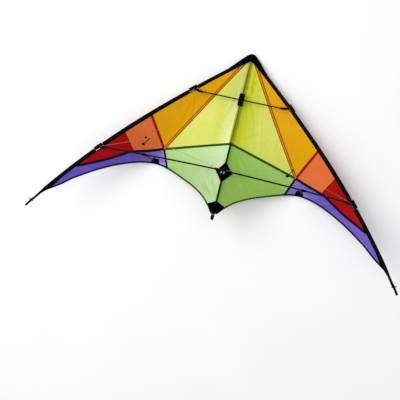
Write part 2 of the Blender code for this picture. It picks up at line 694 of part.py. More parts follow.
def centre_tee():
    """The moulded tee: a boss on the spine with one arm for each lower spreader."""
    obj = rod("centre_tee", [(0.0, TEE_Y - 0.0120, 0.0), (0.0, TEE_Y + 0.0120, 0.0)], 0.0046,
              BLACK_RUBBER, resolution=3)
    boss = rod("tee_boss", [(0.0, TEE_Y, -0.0020), (0.0, TEE_Y, 0.0120)], 0.0068, None, cutters,
               resolution=4)
    combine(obj, "UNION", boss)
    for word, side in SIDES.items():
        arm = [lower_spreader_line(x) for x in (0.0, 0.0130, 0.0270)]
        line = [lower_spreader_line(x) for x in (0.0065, 0.0130, 0.0270, 0.0350)]
        helper = rod(f"tee_arm_{word}", [(side * x, y, z) for x, y, z in arm], 0.0041, None, cutters,
                     resolution=3)
        combine(obj, "UNION", helper)
        bore = rod(f"tee_bore_{word}", [(side * x, y, z) for x, y, z in line],
                   LOWER_SPREADER_RADIUS + FIT, None, cutters)
        combine(obj, "DIFFERENCE", bore)
    spine_bore = rod("tee_spine_bore", [(0.0, TEE_Y - 0.03, 0.0), (0.0, TEE_Y + 0.03, 0.0)],
                     SPINE_RADIUS + FIT, None, cutters)
    combine(obj, "DIFFERENCE", spine_bore)


def folded_patch(name, rows):
    """A patch across the spine; each row is (y, half width), from the top down."""
    shell = bmesh.new()
    grid = []
    for y, half in rows:
        x = np.linspace(-half, half, 9)
        z = sail_height(x, np.full(9, y)) + 0.0016
        grid.append([shell.verts.new((x[k], y, z[k])) for k in range(9)])
    for upper, lower in zip(grid[:-1], grid[1:]):
        for k in range(8):
            shell.faces.new((upper[k], lower[k], lower[k + 1], upper[k + 1]))
    bmesh.ops.recalc_face_normals(shell, faces=shell.faces)
    mesh = bpy.data.meshes.new(name)
    shell.to_mesh(mesh)
    shell.free()
    obj = place(bpy.data.objects.new(name, mesh), BLACK_CLOTH)
    thick = obj.modifiers.new("cloth", "SOLIDIFY")
    thick.thickness = CLOTH
    thick.offset = 0.0


def spine_patches():
    """The diamond behind the tee and the patch that ends the sail at the tail."""
    top, middle, bottom, half = -0.3525, -0.3805, -0.4130, 0.0268
    rows = [(y, half * (top - y) / (top - middle)) for y in np.linspace(top - 0.0015, middle, 5)]
    rows += [(y, half * (y - bottom) / (middle - bottom))
             for y in np.linspace(middle, bottom + 0.0015, 6)[1:]]
    folded_patch("centre_patch", rows)
    shoulders = [(-0.4780, 0.0015), (-0.4825, 0.0135), (-0.4880, 0.0262), (-0.4965, 0.0205),
                 (-0.5060, 0.0140), (-0.5158, 0.0078)]
    folded_patch("tail_patch", shoulders)


def bridle(word, side):
    """Three lines from the frame to the tow point, and the short tow line that they end in."""
    tow = Vector((side * TOW_POINT[0], TOW_POINT[1], TOW_POINT[2]))
    upper = edge_point(UPPER_FITTING_AT)
    lower = edge_point(LOWER_FITTING_AT)
    starts = {
        "upper": Vector((side * (upper[0] - 0.0045), upper[1] - 0.0014, SPREADER_LIFT + 0.0046)),
        "lower": Vector((side * (lower[0] - 0.0070), lower[1], SPREADER_LIFT + 0.0052)),
        "centre": Vector((side * 0.0090, TEE_Y, SPREADER_LIFT + 0.0060)),
    }
    for leg, start in starts.items():
        aim = (tow - start).normalized()
        rod(f"bridle_{leg}_leg_{word}", [start, tow - aim * (TOW_KNOT + 0.0005)], LINE_RADIUS, LINE)
    aim = Vector(PIGTAIL).normalized()
    end = tow + Vector(PIGTAIL)
    obj = ball(f"tow_line_{word}", tow, TOW_KNOT, BLACK_RUBBER)
    line = rod(f"tow_line_run_{word}", [tow, end], 0.0010, None, cutters)
    stopper = rod(f"tow_line_stopper_{word}", [end - aim * 0.0030, end + aim * 0.0030], 0.0026, None,
                  cutters, resolution=3)
    combine(obj, "UNION", line)
    combine(obj, "UNION", stopper)


nose_patch()
spine()
spine_clip()
centre_tee()
spine_patches()
for wing, hand in SIDES.items():
    violet_panel = sail_panels(wing, hand)
    foot_hole = black_patches(wing, hand, violet_panel)
    leading_edge(wing, hand)
    wing_tip(wing, hand)
    upper_fitting(wing, hand)
    lower_fitting(wing, hand)
    lower_spreader(wing, hand)
    standoff(wing, hand, foot_hole)
    bridle(wing, hand)

# Stand the kite: lowest point on the floor, and the box centred on the origin
bpy.context.view_layer.update()
graph = bpy.context.evaluated_depsgraph_get()
spots = []
for obj in parts.objects:
    made = obj.evaluated_get(graph)
    mesh = made.to_mesh()
    spots.extend(obj.matrix_world @ vertex.co for vertex in mesh.vertices)
    made.to_mesh_clear()
spots = np.array(spots)
low, high = spots.min(axis=0), spots.max(axis=0)
kite.location = (-(low[0] + high[0]) / 2, -(low[1] + high[1]) / 2, -low[2])
bpy.context.view_layer.update()
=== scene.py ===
import math

import bmesh
import bpy
import numpy as np
from mathutils import Matrix, Vector


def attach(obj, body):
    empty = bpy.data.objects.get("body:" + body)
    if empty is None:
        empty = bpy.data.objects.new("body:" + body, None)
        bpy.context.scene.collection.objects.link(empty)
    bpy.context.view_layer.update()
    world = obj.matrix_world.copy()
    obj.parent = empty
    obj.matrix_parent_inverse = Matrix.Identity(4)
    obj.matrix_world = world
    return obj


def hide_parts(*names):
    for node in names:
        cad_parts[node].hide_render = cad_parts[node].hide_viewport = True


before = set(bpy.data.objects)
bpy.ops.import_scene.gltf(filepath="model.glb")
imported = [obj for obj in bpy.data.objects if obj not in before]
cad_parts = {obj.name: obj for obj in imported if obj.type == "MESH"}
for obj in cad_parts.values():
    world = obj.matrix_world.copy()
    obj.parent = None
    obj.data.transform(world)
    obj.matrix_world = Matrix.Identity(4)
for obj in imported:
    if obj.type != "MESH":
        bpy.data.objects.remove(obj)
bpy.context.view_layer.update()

# The kite is drawn first with its spine along y: x to the right wing, y to the nose, z out of the
# frame side, and the point where the leading edges would meet at zero. Then it is tipped nose down
# and moved until the nose and both feet meet the floor.
lean = math.radians(14.3)
seat = np.array([0.0, 0.30188, 0.00763])
kite_turn = np.array([[1.0, 0.0, 0.0], [0.0, math.cos(lean), math.sin(lean)],
                      [0.0, -math.sin(lean), math.cos(lean)]])


def lay_down(points):
    """Kite points turned about x by the lean, then moved to where the kite lies."""
    return np.asarray(points) @ kite_turn.T + seat


def shown(name, data):
    """A new object of the data, linked to the scene."""
    made = bpy.data.objects.new(name, data)
    bpy.context.scene.collection.objects.link(made)
    return made


# Camera. It looks almost straight at the frame side from 2.5 m away, a little from the kite's right
# and from beyond its tail, with its own up direction turned so that the nose leans to the right.
camera = shown("camera", bpy.data.cameras.new("camera"))
bpy.context.scene.camera = camera
camera_back = Vector(kite_turn @ (0.151, -0.115, 0.982)).normalized()
camera_right = Vector(kite_turn @ (-0.225, 0.963, 0.147)).cross(camera_back).normalized()
camera_up = camera_back.cross(camera_right)
camera_turn = Matrix((camera_right, camera_up, camera_back)).transposed().to_4x4()
camera.matrix_world = Matrix.Translation(lay_down((0.322, -0.770, 2.425))) @ camera_turn
camera.data.sensor_width = 36.0
camera.data.lens = 70.6

# The sail. Six panels of thin woven cloth a side, sewn edge to edge, and pulled over the frame like
# a tent: held at the spine and the leading edges and pushed back by the standoffs.
edge_run = np.linspace(0.0, 0.882, 1000)
edge_heading = np.radians(50.3 - 8.0 * edge_run - 12.66 * edge_run**2)
edge_x, edge_y = (
    np.concatenate([[0.0], np.cumsum(part[1:] + part[:-1])]) * edge_run[1] / 2
    for part in (np.sin(edge_heading), -np.cos(edge_heading)))
edge_reach = np.hypot(edge_x, edge_y)
edge_angle = np.arctan2(edge_x, -edge_y)
edge_angle[0] = edge_angle[1]


def edge_at(s, inward=0.0):
    """The right leading edge at length s, moved inward square to it: its heading, summed up from
    the nose."""
    turn = np.interp(s, edge_run, edge_heading)
    x = np.interp(s, edge_run, edge_x) - inward * np.cos(turn)
    y = np.interp(s, edge_run, edge_y) - inward * np.sin(turn)
    return np.stack([x, y], axis=-1)


def run_of(line):
    """The distance along a line from its first point to each of its points."""
    return np.concatenate([[0.0], np.cumsum(np.linalg.norm(np.diff(line, axis=0), axis=-1))])


def unit(rows):
    """Each row of an array, brought to length one."""
    return rows / np.linalg.norm(rows, axis=1)[:, None]


def square_to(line):
    """At each point of a flat line, the unit vector to the left of its heading."""
    heading = unit(np.gradient(line, axis=0))
    return np.stack([-heading[:, 1], heading[:, 0]], axis=-1)


def mirrored(half, signs):
    """Half an outline and its mirror image, joined at the half's last point."""
    half = np.asarray(half)
    return np.vstack([half, half[-2::-1] * signs])


def evenly(line, count):
    """Count points at even distances along a line."""
    far = run_of(line)
    at = np.linspace(0.0, far[-1], count)
    return np.stack([np.interp(at, far, column) for column in line.T], axis=-1)


def between(a, b, count):
    """Count points on the straight line from a to b."""
    t = np.linspace(0.0, 1.0, count)[:, None]
    return (1.0 - t) * np.asarray(a, float) + t * np.asarray(b, float)


def through(points, count):
    """A Catmull-Rom curve through points: a cubic in each span whose slope at a point is half the
    step between its neighbours. Count points at even distances along it."""
    points = np.asarray(points, float)
    held = np.vstack([2 * points[0] - points[1], points, 2 * points[-1] - points[-2]])
    a, b, c, d = (held[k : len(held) - 3 + k, None] for k in range(4))
    t = np.linspace(0.0, 1.0, 48, endpoint=False)[None, :, None]
    runs = b + 0.5 * (c - a) * t + (a - 2.5 * b + 2 * c - 0.5 * d) * t**2
    runs = runs + (1.5 * b - 0.5 * a - 1.5 * c + 0.5 * d) * t**3
    return evenly(np.vstack([runs.reshape(-1, points.shape[1]), points[-1:]]), count)


# Where the seams meet on the right wing, and how far down the leading edge each of them ends.
junction = np.array([0.2215, -0.3383])
corner_m = np.array([0.3145, -0.3745])
corner_k = np.array([0.1975, -0.3985])
green_end = np.array([0.0, -0.288])
tail_corner = np.array([0.0, -0.5185])
nose_at, golden_at, red_at, violet_at, sail_end = 0.0345, 0.372, 0.477, 0.666, 0.792
sleeve_flap = 0.0074  # the sleeve's width inward from the rod
under_flap = 0.0062  # the panels reach in between the sleeve's two layers as far as this
nose_start = edge_at(nose_at, sleeve_flap)
nose_seam = through([nose_start, (junction + nose_start) / 2 - (0.00276, 0.00181), junction], 420)
green_seam = between(green_end, junction, 260)
golden_seam = between(junction, edge_at(golden_at, sleeve_flap), 200)
red_seam = between(corner_m, edge_at(red_at, sleeve_flap), 160)
violet_seam = through([junction, corner_m, (0.3480, -0.3960), (0.4010, -0.4305),
                       edge_at(violet_at, sleeve_flap)], 420)
inner_seam = between(junction, corner_k, 90)
inner_hem = through(
    [tail_corner, (0.0095, -0.5155), (0.0285, -0.4940), (0.0550, -0.4683), (0.0945, -0.4428),
     (0.1525, -0.4165), corner_k], 360)
outer_hem = through(
    [corner_k, (0.2430, -0.3905), (0.3000, -0.4050), (0.3815, -0.4465), (0.4660, -0.5040),
     (0.5070, -0.5385), edge_at(sail_end, sleeve_flap)], 520)
spine_line = between((0.0, -0.012), tail_corner, 520)
edge_line = edge_at(np.linspace(0.03, 0.80, 780), sleeve_flap)
ridge = 0.7  # where the tent is deepest, from 0 at the spine to 1 at the leading edge
softness = 9.0  # how sharp the fold along the ridge is
belly = 0.6  # how much of the cloth's run from the spine to the ridge is curved
foot_reach, sail_depth = 0.454, 0.106  # the standoffs' feet: distance from the nose, and depth


def tent(x, y):
    """Height of the sail before its wrinkles: a soft-ridged tent across from spine to leading edge,
    bellied on the spine's side, its depth growing with the distance from the nose as far as the
    standoff's foot."""
    x = np.abs(x)
    reach = np.hypot(x, y)
    share = np.clip(np.arctan2(x, -y) / np.interp(reach, edge_reach, edge_angle), 0.0, 1.0)
    inner = share / ridge
    inner = (1.0 - belly) * inner + belly * np.sin(0.5 * np.pi * np.minimum(inner, 1.0))
    rise = np.exp(-softness * inner) + np.exp(-softness * (1.0 - share) / (1.0 - ridge))
    depth = np.where(reach < foot_reach, (reach / foot_reach) ** 2,
                     (foot_reach / np.maximum(reach, foot_reach)) ** 0.5)
    behind_spine = 0.0045 + 0.0027 * np.clip(-y / 0.2, 0.0, 1.0)
    return (-sail_depth * depth * np.maximum(-np.log(rise) / softness, 0.0)
            - behind_spine * (1.0 - share))


def puckers(x, y, line, pitch, height, width, seed):
    """Gathers beside a seam: a sine along it whose pitch and height wander, dying away as a bell
    curve of the distance from it."""
    gap = np.hypot(x[..., None] - line[:, 0], y[..., None] - line[:, 1])
    near = gap.argmin(axis=-1)
    t = run_of(line)[-1] * near / (len(line) - 1)
    wave = np.sin(2 * np.pi * t / pitch + 1.7 * np.sin(2 * np.pi * t / 0.067 + seed) + seed)
    wave = wave * (0.55 + 0.45 * np.sin(2 * np.pi * t / 0.049 + 2.3 * seed))
    return height * wave * np.exp(-((gap.min(axis=-1) / width) ** 2))


def pull(x, y, start, heading, spread, waves, near, far, height, seed):
    """Creases that fan out from a point: a sine of the angle about it, inside a wedge round the
    heading, strongest between the near and the far distance."""
    away = np.hypot(x - start[0], y - start[1])
    angle = np.arctan2(y - start[1], x - start[0]) - math.radians(heading)
    angle = (angle + np.pi) % (2 * np.pi) - np.pi
    middle, width = (near + far) / 2, (far - near) / 2
    wedge = np.exp(-((angle / math.radians(spread)) ** 2) - ((away - middle) / width) ** 2)
    crease = np.sin(waves * angle + seed + 1.5 * np.sin(away / 0.021 + seed))
    crease = crease + 0.4 * np.sin(2.3 * waves * angle + 2.0 * seed)
    return height * wedge * crease


def fold(x, y, start, end, width, height):
    """A crease along a straight line: a bell curve of the distance from it, dying at both ends."""
    along = np.subtract(end, start)
    length = math.hypot(*along)
    t = ((x - start[0]) * along[0] + (y - start[1]) * along[1]) / length**2
    off = ((y - start[1]) * along[0] - (x - start[0]) * along[1]) / length
    return height * np.sqrt(np.sin(np.pi * np.clip(t, 0.0, 1.0))) * np.exp(-((off / width) ** 2))


def dents(x, y, centre, spread, pitch, height, seed):
    """Soft crumples inside a bell curve round a point: four bent sines of unlike headings."""
    total = np.zeros_like(x)
    for number in range(4):
        turn = seed + 1.1 * number
        along, square = x * np.cos(turn) + y * np.sin(turn), y * np.cos(turn) - x * np.sin(turn)
        bent = 1.6 * np.sin(2 * np.pi * square / (2.3 * pitch) + number)
        total += np.sin(2 * np.pi * along / (pitch * (1.0 + 0.3 * number)) + bent)
    bell = np.exp(-(((x - centre[0]) / spread[0]) ** 2) - ((y - centre[1]) / spread[1]) ** 2)
    return 0.5 * height * bell * total


def sail_height(x, y, side):
    """The tent with its wrinkles: gathers along each seam and hem, creases that fan out from the
    nose, the spine's fittings, the tail, the wing tip and the standoff's foot, and on each wing a
    patch of dents and two folds. All of them die away at the leading edge."""
    at = np.abs(np.ravel(x)), np.ravel(y)
    made = np.zeros_like(at[0])
    gathers = (  # line, pitch, height, width, seed
        (nose_seam, 0.0135, 0.00022, 0.009, 0.4), (green_seam, 0.0150, 0.00034, 0.011, 1.9),
        (golden_seam, 0.0120, 0.00025, 0.008, 3.1), (red_seam, 0.0110, 0.00025, 0.008, 4.4),
        (violet_seam, 0.0125, 0.00040, 0.011, 5.2), (inner_hem, 0.0140, 0.00040, 0.012, 0.9),
        (outer_hem, 0.0130, 0.00042, 0.012, 2.6), (edge_line, 0.0170, 0.00026, 0.012, 3.7),
        (spine_line, 0.0230, 0.00022, 0.015, 1.2),
    )
    for line, pitch, height, width, seed in gathers:
        made += puckers(*at, line, pitch, height, width, seed + 0.8 * side)
    slack = 1.0 if side > 0 else 0.3
    fans = (  # start, heading, spread, waves, near, far, height, seed
        ((0.0, -0.010), -78.0, 9.0, 46.0, 0.06, 0.24, 0.0006 * slack, 1.0),
        ((0.0, -0.300), -50.0, 26.0, 17.0, 0.02, 0.14, 0.0010 * slack, 2.2),
        ((0.0, -0.270), 22.0, 22.0, 15.0, 0.03, 0.16, 0.0007, 4.1),
        ((0.0, -0.500), 62.0, 24.0, 19.0, 0.02, 0.13, 0.0002, 0.3),
        ((0.243, -0.3825), 60.0, 70.0, 9.0, 0.01, 0.07, 0.0007, 5.0),
        ((0.243, -0.3825), -160.0, 50.0, 10.0, 0.01, 0.07, 0.0006, 3.0),
        ((0.400, -0.392), 200.0, 30.0, 12.0, 0.03, 0.15, 0.0006, 2.7),
        ((0.156, -0.138), -95.0, 16.0, 20.0, 0.03, 0.17, 0.0016 - 0.0009 * slack, 1.4),
        ((0.550, -0.570), 148.0, 12.0, 30.0, 0.05, 0.22, 0.0007, 0.9),
    )
    for number, (*fan, seed) in enumerate(fans):
        made += pull(*at, *fan, seed + side * (0.7 + number))
    if side > 0:
        made += dents(*at, (0.026, -0.082), (0.026, 0.052), 0.019, 0.0021, 0.5)
        made += fold(*at, (0.0075, -0.024), (0.0125, -0.080), 0.0024, 0.0017)
        made += fold(*at, (0.060, -0.105), (0.094, -0.300), 0.0035, 0.0008)
    else:
        made += dents(*at, (0.232, -0.366), (0.026, 0.018), 0.013, 0.0009, 2.1)
        made += fold(*at, (0.150, -0.145), (0.192, -0.262), 0.0060, 0.0010)
        made += fold(*at, (0.118, -0.128), (0.170, -0.232), 0.0050, -0.0008)
    reach = np.hypot(*at)
    from_edge = (np.interp(reach, edge_reach, edge_angle) - np.arctan2(at[0], -at[1])) * reach
    return tent(x, y) + (made * np.clip(from_edge / 0.012, 0.0, 1.0)).reshape(np.shape(x))


def inside(sides, columns, rows):
    """A Coons patch: the two ruled surfaces between opposite sides, less the one through the four
    corners. The sides are given in order round the patch."""
    lower, right, upper, left = sides
    lower, upper = evenly(lower, columns)[:, None], evenly(upper[::-1], columns)[:, None]
    right, left = evenly(right, rows)[None], evenly(left[::-1], rows)[None]
    u = np.linspace(0.0, 1.0, columns)[:, None, None]
    v = np.linspace(0.0, 1.0, rows)[None, :, None]
    corners = (1 - u) * (1 - v) * lower[:1] + u * (1 - v) * lower[-1:]
    corners = corners + (1 - u) * v * upper[:1] + u * v * upper[-1:]
    return (1 - v) * lower + v * upper + (1 - u) * left + u * right - corners


def cells(grid):
    """The four corners of each cell of a grid, in order round it."""
    return np.stack([grid[:-1, :-1], grid[1:, :-1], grid[1:, 1:], grid[:-1, 1:]], axis=2)


def grid_uv(u, v):
    """The UV of a grid: u down its rows and v across its columns."""
    return np.dstack(np.broadcast_arrays(u[:, None], v[None, :]))


def measured(points, ring=False):
    """Lengths along a grid as its UV: down its rows' middles, and across the middle row."""
    line = points[len(points) // 2]
    if ring:
        line = np.vstack([line, line[:1]])
    return grid_uv(run_of(points.mean(axis=1)), run_of(line))


def skin(name, points, uv, material, node=None, thickness=0.0, ring=False, ends=False):
    """A grid of kite points, rows by columns, joined into four-sided faces and laid down, in place
    of the node given. A ring closes each row on itself, ends fills the first and the last row, and
    a thickness makes an open sheet solid."""
    rows, columns = points.shape[:2]
    index = np.arange(rows * columns).reshape(rows, columns)
    if ring:
        index = np.concatenate([index, index[:, :1]], axis=1)
    faces, corners = cells(index).reshape(-1, 4).tolist(), cells(uv).reshape(-1, 2)
    if ends:
        faces += [index[0, :columns].tolist(), index[-1, :columns].tolist()]
        corners = np.vstack([corners, uv[0, :columns], uv[-1, :columns]])
    mesh = bpy.data.meshes.new(name)
    mesh.from_pydata(lay_down(points.reshape(-1, 3)).tolist(), [], faces)
    mesh.uv_layers.new(name="UVMap").data.foreach_set("uv", np.ravel(corners).astype(np.float32))
    mesh.shade_smooth()
    shell = bmesh.new()
    shell.from_mesh(mesh)
    if ring:
        bmesh.ops.recalc_face_normals(shell, faces=shell.faces)
    elif sum(face.normal.z * face.calc_area() for face in shell.faces) < 0:
        bmesh.ops.reverse_faces(shell, faces=shell.faces)
    shell.to_mesh(mesh)
    shell.free()
    mesh.materials.append(material)
    made = shown(name, mesh)
    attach(made, "root")
    if node:
        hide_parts(node)
    if thickness:
        thick = made.modifiers.new("cloth", "SOLIDIFY")
        thick.thickness = thickness
        thick.offset = 0.0
    return made


def srgb(red, green, blue):
    """A screen colour, 0 to 255, as linear light."""
    share = np.array([red, green, blue]) / 255.0
    linear = np.where(share <= 0.04045, share / 12.92, ((share + 0.055) / 1.055) ** 2.4)
    return (*linear.tolist(), 1.0)


def plug(value, socket):
    """Links a node's output to a socket, or sets the socket to a value."""
    if isinstance(value, bpy.types.NodeSocket):
        socket.id_data.links.new(value, socket)
    elif value is not None:
        socket.default_value = value


def add(home, kind, *inputs, out=0, **settings):
    """A shader node in the tree of home, a node or socket, with values or links on its sockets."""
    node = home.id_data.nodes.new("ShaderNode" + kind)
    for key, value in settings.items():
        setattr(node, key, value)
    for socket, value in zip(node.inputs, inputs):
        plug(value, socket)
    return node.outputs[out]


def maths(operation, *values):
    """One step of arithmetic, in the tree that its first linked value comes from."""
    linked = next(value for value in values if isinstance(value, bpy.types.NodeSocket))
    return add(linked, "Math", *values, operation=operation)


def times(first, second):
    """Their product."""
    return maths("MULTIPLY", first, second)


def ranged(value, *ends):
    """A value mapped from its first two ends to the other two, and held at them beyond."""
    return add(value, "MapRange", value, *ends)


def noise(place, scale, detail, roughness, *more):
    """Noise on a place, where more goes on to its lacunarity and offset."""
    return add(place, "TexNoise", place, None, scale, detail, roughness, *more)


def split(vector):
    """The three numbers of a vector."""
    return add(vector, "SeparateXYZ", vector).node.outputs


def mixed(share, first, second):
    """A colour from first to second, by a share from 0 to 1; a tuple is a screen colour."""
    node = share.id_data.nodes.new("ShaderNodeMix")
    node.data_type = "RGBA"
    for socket, value in ((0, share), (6, first), (7, second)):
        plug(srgb(*value) if isinstance(value, tuple) else value, node.inputs[socket])
    return node.outputs[2]


def group(name, takes, gives):
    """An empty node group with float inputs and outputs of the names given; UV is a vector."""
    made = bpy.data.node_groups.new(name, "ShaderNodeTree")
    for word, value in takes.items():
        kind = "NodeSocketVector" if word == "UV" else "NodeSocketFloat"
        socket = made.interface.new_socket(word, in_out="INPUT", socket_type=kind)
        if value is not None:
            socket.default_value = value
    for word in gives:
        made.interface.new_socket(word, in_out="OUTPUT", socket_type="NodeSocketFloat")
    return made, made.nodes.new("NodeGroupInput"), made.nodes.new("NodeGroupOutput")


def placed(made, uv, **values):
    """A node group put into a material's tree, on its UV and with its values set."""
    node = uv.id_data.nodes.new("ShaderNodeGroup")
    node.node_tree = made
    plug(uv, node.inputs["UV"])
    for word, value in values.items():
        plug(value, node.inputs[word])
    return node.outputs


# Plain weave, for cloth of any thread: crossed threads, slubs along both, and soft blotches.
weave, taken, given = group(
    "plain_weave", {"UV": None, "Pitch": 0.0005, "Slubs": 40.0}, ("Threads", "Slub", "Blotch"))
part_uv = split(taken.outputs["UV"])
turns = maths("DIVIDE", 2 * math.pi, taken.outputs["Pitch"])
crossed = maths("ADD", *(maths("COSINE", times(part, turns)) for part in part_uv[:2]))
coarse = taken.outputs["Slubs"]
fine = times(coarse, 18.0)
slubs = []
for ways in ((coarse, fine), (fine, coarse)):
    scaled = [times(part, way) for part, way in zip(part_uv, ways)]
    slubs.append(noise(add(weave, "CombineXYZ", *scaled), 1.0, 3.0, 0.6))
plug(maths("MULTIPLY_ADD", crossed, 0.25, 0.5), given.inputs["Threads"])
plug(maths("MULTIPLY_ADD", maths("ADD", *slubs), 0.5, 0.0), given.inputs["Slub"])
plug(noise(taken.outputs["UV"], 11.0, 3.0, 0.55), given.inputs["Blotch"])


def material_of(name, roughness=0.5, **sockets):
    """A new Principled material; the sockets take constants."""
    made = bpy.data.materials.new(name)
    made.use_nodes = True
    shader = made.node_tree.nodes["Principled BSDF"]
    for word, value in {"Roughness": roughness, **sockets}.items():
        shader.inputs[word.replace("_", " ")].default_value = value
    return made, shader


def bumped(shader, height, distance, strength, before=None):
    """A bump of the height given, over the one before it."""
    made = add(height, "Bump", strength, distance)
    plug(height, made.node.inputs["Height"])
    plug(before, made.node.inputs["Normal"])
    plug(made, shader.inputs["Normal"])
    return made


def woven(shader, pitch, slubs):
    """The piece's UV, and the plain weave's threads, slubs and blotches on it."""
    uv = add(shader, "UVMap", uv_map="UVMap")
    return uv, *placed(weave, uv, Pitch=pitch, Slubs=slubs)


def painted(shader, shade, grain, smooth, rough):
    """A colour on the shader, and a roughness that follows the grain."""
    plug(shade, shader.inputs["Base Color"])
    plug(ranged(grain, 0.3, 0.7, smooth, rough), shader.inputs["Roughness"])


fine_pitch, thread_height, cloth_thickness = 0.0005, 0.00008, 0.0003


def sail_cloth(name, colour, deep, pale, painted_light_by_spine, shine, reach=(0.012, 0.055, 0.018, 0.080),
               right_shine=0.35, tail=False):
    """Light woven cloth with a calendered shine. The colour drifts to a deeper and a paler one in
    soft blotches and along the slubs. By the spine it is painted light and shade, another colour:
    a deeper, more saturated painted shade on the green cloths and a paler painted sheen on the
    violet. By the nose on the left wing, the side the key light falls on, the painted shade is left
    out. A thicker thread comes every few millimetres, and small crinkles break the light. The shine
    goes from its first value by the spine to its second away from it, within the first two reaches,
    and the painted colour within the last two. The right wing's shine is duller, and with tail the
    spine's share widens towards the tail."""
    made, shader = material_of(name, Specular_IOR_Level=0.04, Coat_IOR=2.7, Coat_Roughness=0.40)
    uv, threads, slub, blotches = woven(shader, fine_pitch, 38.0)
    place = add(shader, "TexCoord", out=3)
    across, along = split(place)[:2]
    off_spine = maths("ABSOLUTE", across)
    if tail:
        off_spine = times(off_spine, ranged(along, -0.125, -0.045, 0.15, 1.0))
    away = ranged(off_spine, *reach[2:], 0.0, 1.0)
    # Painted light: on the left wing by the nose, the lit side, the cloth keeps its own colour
    # instead of the painted shade by the spine.
    lit_left_by_nose = times(ranged(along, 0.175, 0.25, 0.0, 0.9), ranged(across, -0.006, 0.002, 1.0, 0.0))
    away = maths("MAXIMUM", away, lit_left_by_nose)
    shade = mixed(ranged(blotches, 0.35, 0.65, 0.0, 1.0), deep, colour)
    shade = mixed(ranged(slub, 0.47, 0.62, 0.0, 0.45), shade, pale)
    # Painted light and shade by the spine: the deeper painted shade of the greens, the paler
    # painted sheen of the violet.
    shade = mixed(away, painted_light_by_spine, shade)
    ribs = placed(weave, uv, Pitch=0.0046, Slubs=120.0)["Threads"]
    # Painted shade: the hollows between the threads are darkened towards the deeper colour.
    shade = mixed(ranged(threads, 0.0, 1.0, 0.10, 0.0), shade, deep)
    shade = mixed(ranged(ribs, 0.80, 1.0, 0.0, 0.10), shade, deep)
    painted(shader, shade, slub, 0.40, 0.56)
    worn = times(ranged(slub, 0.35, 0.65, 0.86, 1.10),
                 ranged(across, -0.006, 0.006, 1.0, right_shine))
    plug(times(ranged(off_spine, *reach[:2], *shine), worn), shader.inputs["Coat Weight"])
    crinkle = noise(uv, 60.0, 4.0, 0.55, 2.0, 0.5)
    before = bumped(shader, crinkle, 0.0016, 0.5)
    before = bumped(shader, ranged(ribs, 0.85, 1.0, 0.0, 1.0), thread_height, 0.5, before)
    bumped(shader, threads, thread_height, 0.5, before)
    return made


# Each cloth's fourth colour is its painted light by the spine: a deeper painted shade on the
# yellow-green and the light green, a paler painted sheen on the violet, and the cloth's own colour
# on the golden, orange and red.
cloths = {
    colour: sail_cloth(f"{colour}_sailcloth", *looks)
    for colour, *looks in (
        ("yellow_green", (212, 217, 100), (207, 213, 88), (219, 224, 116), (192, 198, 8),
         (0.86, 0.05), (0.012, 0.055, 0.018, 0.080), 0.1),
        ("golden", (220, 160, 8), (214, 150, 4), (226, 172, 16), (220, 160, 8), (0.0, 0.0)),
        ("orange", (222, 109, 57), (214, 100, 49), (230, 122, 69), (222, 109, 57), (0.0, 0.0)),
        ("red", (166, 11, 17), (154, 6, 13), (180, 22, 26), (166, 11, 17), (0.0, 0.0)),
        ("violet", (98, 72, 194), (84, 58, 180), (118, 94, 206), (136, 120, 208), (0.70, 0.55),
         (0.20, 0.31, 0.20, 0.31), 1.0),
        ("light_green", (162, 204, 106), (154, 198, 96), (176, 214, 124), (144, 190, 74),
         (0.80, 0.45), (0.015, 0.10, 0.015, 0.14), 0.35, True),
    )
}


def cut_of(points):
    """The flat cut of a panel: the area is the sum of its grid's cells, each the length of the
    cross product of its two steps, and the box is the tightest one over a quarter turn."""
    across, along = np.diff(points, axis=0)[:, :-1], np.diff(points, axis=1)[:-1]
    area = np.linalg.norm(np.cross(across, along), axis=-1).sum()
    centred = (points - points.mean(axis=(0, 1))).reshape(-1, 3)
    plane = centred @ np.linalg.svd(centred[::7], full_matrices=False)[2][:2].T
    tried = np.radians(np.arange(0.0, 90.0, 1.0))
    c, s = np.cos(tried), np.sin(tried)
    wide, long = (np.ptp(plane @ np.stack(way), axis=0) for way in ((c, s), (-s, c)))
    best = int(np.argmin(wide * long))
    return (float(wide[best]), float(long[best])), float(area)


def sail_panel(colour, word, side, sides, columns, rows, grain):
    """One panel: a Coons patch inside its seams, lifted to the sail's height, with its threads
    turned to the grain's angle."""
    flat = inside(sides, columns, rows)
    height = sail_height(flat[..., 0], flat[..., 1], side)
    points = np.dstack([side * flat[..., 0], flat[..., 1], height])
    c, s = math.cos(math.radians(grain)), math.sin(math.radians(grain))
    uv = flat @ np.array([[c, -s], [s, c]]) + 0.37 * (1 + side)
    made = skin(f"{colour}_sail_{word}", points, uv, cloths[colour],
                f"{colour}_panel_{word}", cloth_thickness)
    return made, cut_of(points)


def edge_down(start, end):
    """A panel's side along the leading edge, under the sleeve's flap."""
    return edge_at(np.linspace(start, end, 160), under_flap)


